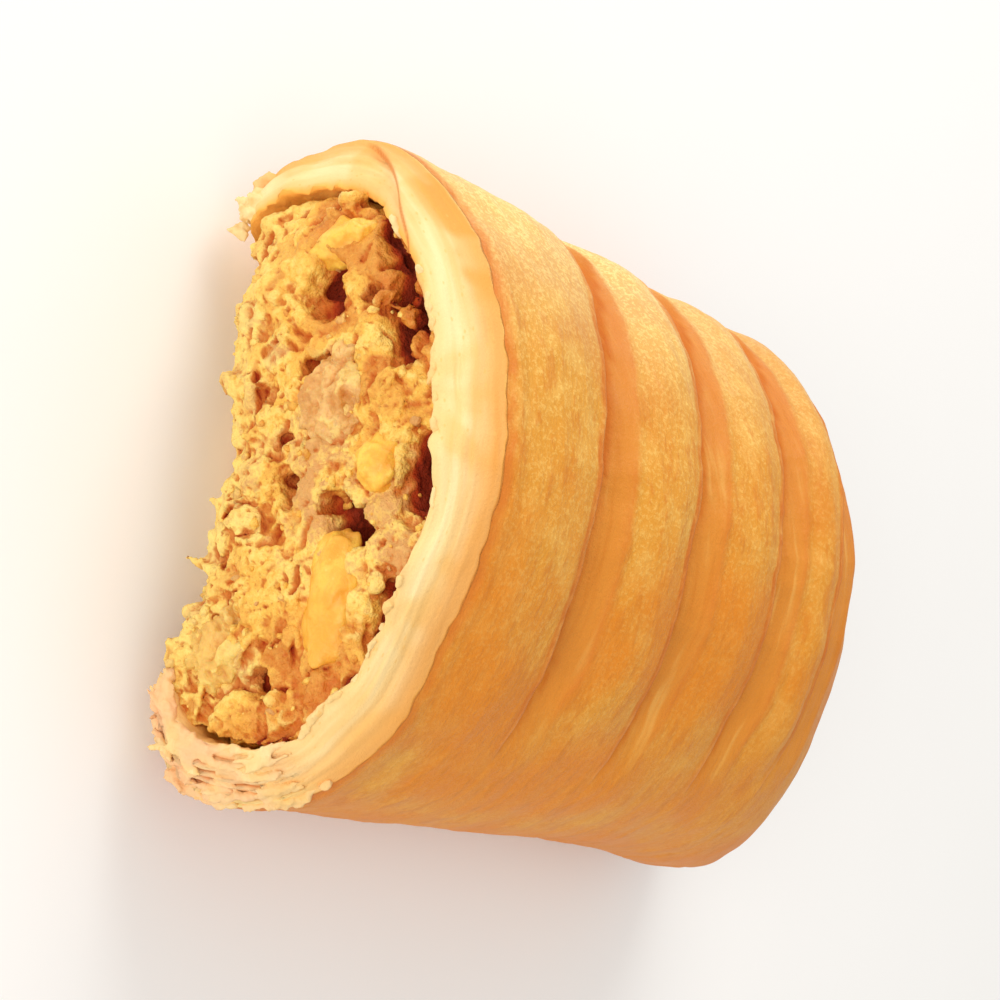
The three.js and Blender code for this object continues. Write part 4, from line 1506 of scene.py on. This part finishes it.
class STRUDEL_OT_pieces(bpy.types.Operator):
    """Makes the cheese and the vegetable pieces that the frame names"""

    bl_idname = "strudel.pieces"
    bl_label = "Cheese and vegetables"

    def cluster(self, name, half, flat, seed):
        """A large lump with small ones on it, all fused into one skin."""
        chance = random.Random(name)
        bm = bmesh.new()
        lumpy_ball(bm, (0, 0, 0), [0.9 * size for size in half], None, 4, 0.25, seed)
        for _index in range(16):
            spot = Vector([size * chance.uniform(-0.9, 0.9) for size in half])
            spot.y *= 0.4
            if flat and spot.z > -0.45 * half[2]:
                continue
            if (spot.x / half[0]) ** 2 + (spot.z / half[2]) ** 2 > 0.85:
                continue
            size = min(half) * chance.uniform(0.25, 0.5)
            lumpy_ball(bm, spot, (size, size * 0.8, size), None, 3, 0.5, seed + spot.x)
        return voxel_fused(bm, BIT_VOXEL)

    def roughen(self, bm, half, soft, seed):
        """Breaks up the skin: cheese only at its upper and lower edge."""
        valley_key = bm.verts.layers.float.new("valley")
        soften(bm, bm.verts, 4 if soft else 2)
        for vertex in bm.verts:
            spot = vertex.co + Vector((seed, 0, 0))
            fine = grain(spot.x / 0.6, spot.y / 0.6, spot.z / 0.6)
            move = crumbly(spot)[0]
            if soft:
                ridge = grain(spot.x / 3.0, spot.y / 1.6, spot.z / 1.4)
                edge = clamp(abs(vertex.co.z) / half[2] - 0.5)
                move = 0.12 * ridge + (0.12 + 0.9 * edge) * move + 0.04 * fine
            else:
                move = 1.25 * move + 0.12 * fine
            vertex.co += vertex.normal * move
            # How sunk the relief is: painted shade in the valleys, painted highlight on the peaks.
            vertex[valley_key] = clamp(0.35 - move) * (0.5 if soft else 1.0)

    def execute(self, context):
        colours = context.scene.strudel_colours
        materials = {
            "cheese": plain_food_material(
                "soft_cheese", colours, colours.cheese, colours.cheese_deep,
                colours.cheese_deep, colours.filling_pale, 0.42, 0.0002,
            ),
            "vegetable": plain_food_material(
                "cooked_vegetable", colours, colours.vegetable, colours.vegetable_deep,
                colours.vegetable_far, colours.filling_herb, 0.5, 0.00034,
            ),
        }
        for name, centre, half, turn, slot in NAMED_PIECES:
            seed = len(name) * 1.7
            bm = self.cluster(name, half, name == "cheese_strip", seed)
            self.roughen(bm, half, slot == "cheese", seed)
            swing = Euler((0, math.radians(turn), 0)).to_matrix()
            bmesh.ops.rotate(bm, verts=bm.verts, cent=(0, 0, 0), matrix=swing)
            bmesh.ops.translate(bm, verts=bm.verts, vec=centre)
            # Painted shade: each piece darkens towards its back, where it sinks into the filling.
            sunk_key = bm.verts.layers.float.new("hollow")
            reach = 0.6 * half[1]
            for vertex in bm.verts:
                vertex[sunk_key] = 0.5 * ease(vertex.co.y, centre[1] - reach, centre[1] + reach)
            finish_piece(name + "_look", bm, materials[slot], (name,), turn_out=False)
        return {"FINISHED"}


class STRUDEL_OT_crumbs(bpy.types.Operator):
    """Scatters crumbs over the torn filling"""

    bl_idname = "strudel.crumbs"
    bl_label = "Crumbs"

    def execute(self, context):
        filling = bpy.data.objects["filling_mass"]
        tree = BVHTree.FromObject(filling, context.evaluated_depsgraph_get())
        chance = random.Random(7)
        bm = bmesh.new()
        tone_key = bm.verts.layers.float.new("tone")
        valley_key = bm.verts.layers.float.new("valley")
        count = 0
        for _try in range(4000):
            start = Vector((chance.uniform(-22, 24) * MM, -0.08, chance.uniform(4, 31) * MM))
            hit, normal, _face, _away = tree.ray_cast(start, Vector((0, 1, 0)))
            if hit is None or hit.y > -0.036:
                continue
            size = context.scene.strudel_sizes.crumb * chance.uniform(0.5, 1.5) ** 1.4
            half = [size * chance.uniform(0.7, 1.35) for _axis in range(3)]
            spin = Euler([chance.uniform(0, TAU) for _axis in range(3)])
            centre = hit / MM + normal * size * chance.uniform(-0.3, 0.25)
            made = lumpy_ball(bm, centre, half, spin, 1, 0.9, chance.uniform(0, 90))
            tone = clamp(chance.gauss(0.45, 0.2), 0.05, 0.95)
            for vertex in made:
                vertex[tone_key] = tone
                vertex[valley_key] = 0.26
            count += 1
            if count == CRUMBS:
                break
        material = bpy.data.materials["curd_filling"]
        finish_piece("crumbs", bm, material, turn_out=False)
        return {"FINISHED"}


class STRUDEL_PT_panel(bpy.types.Panel):
    """Lists the steps that make the strudel"""

    bl_idname = "STRUDEL_PT_panel"
    bl_label = "Strudel"
    bl_space_type = "VIEW_3D"
    bl_region_type = "UI"
    bl_category = "Strudel"

    def draw(self, context):
        for step in STEPS:
            self.layout.operator(step.bl_idname)
        for group in (context.scene.strudel_sizes, context.scene.strudel_colours):
            box = self.layout.box()
            for key in group.bl_rna.properties.keys():
                if key not in ("rna_type", "name"):
                    box.prop(group, key)


STEPS = (
    STRUDEL_OT_stage,
    STRUDEL_OT_crust,
    STRUDEL_OT_bits,
    STRUDEL_OT_filling,
    STRUDEL_OT_pieces,
    STRUDEL_OT_crumbs,
)
CLASSES = (StrudelSizes, StrudelColours, *STEPS, STRUDEL_PT_panel)


def register():
    for item in CLASSES:
        bpy.utils.register_class(item)
    bpy.types.Scene.strudel_sizes = bpy.props.PointerProperty(type=StrudelSizes)
    bpy.types.Scene.strudel_colours = bpy.props.PointerProperty(type=StrudelColours)


def unregister():
    del bpy.types.Scene.strudel_colours
    del bpy.types.Scene.strudel_sizes
    for item in reversed(CLASSES):
        bpy.utils.unregister_class(item)


def main():
    register()
    bpy.ops.strudel.stage()
    bpy.ops.strudel.crust()
    bpy.ops.strudel.bits()
    bpy.ops.strudel.filling()
    bpy.ops.strudel.pieces()
    bpy.ops.strudel.crumbs()


if __name__ == "__main__":
    main()
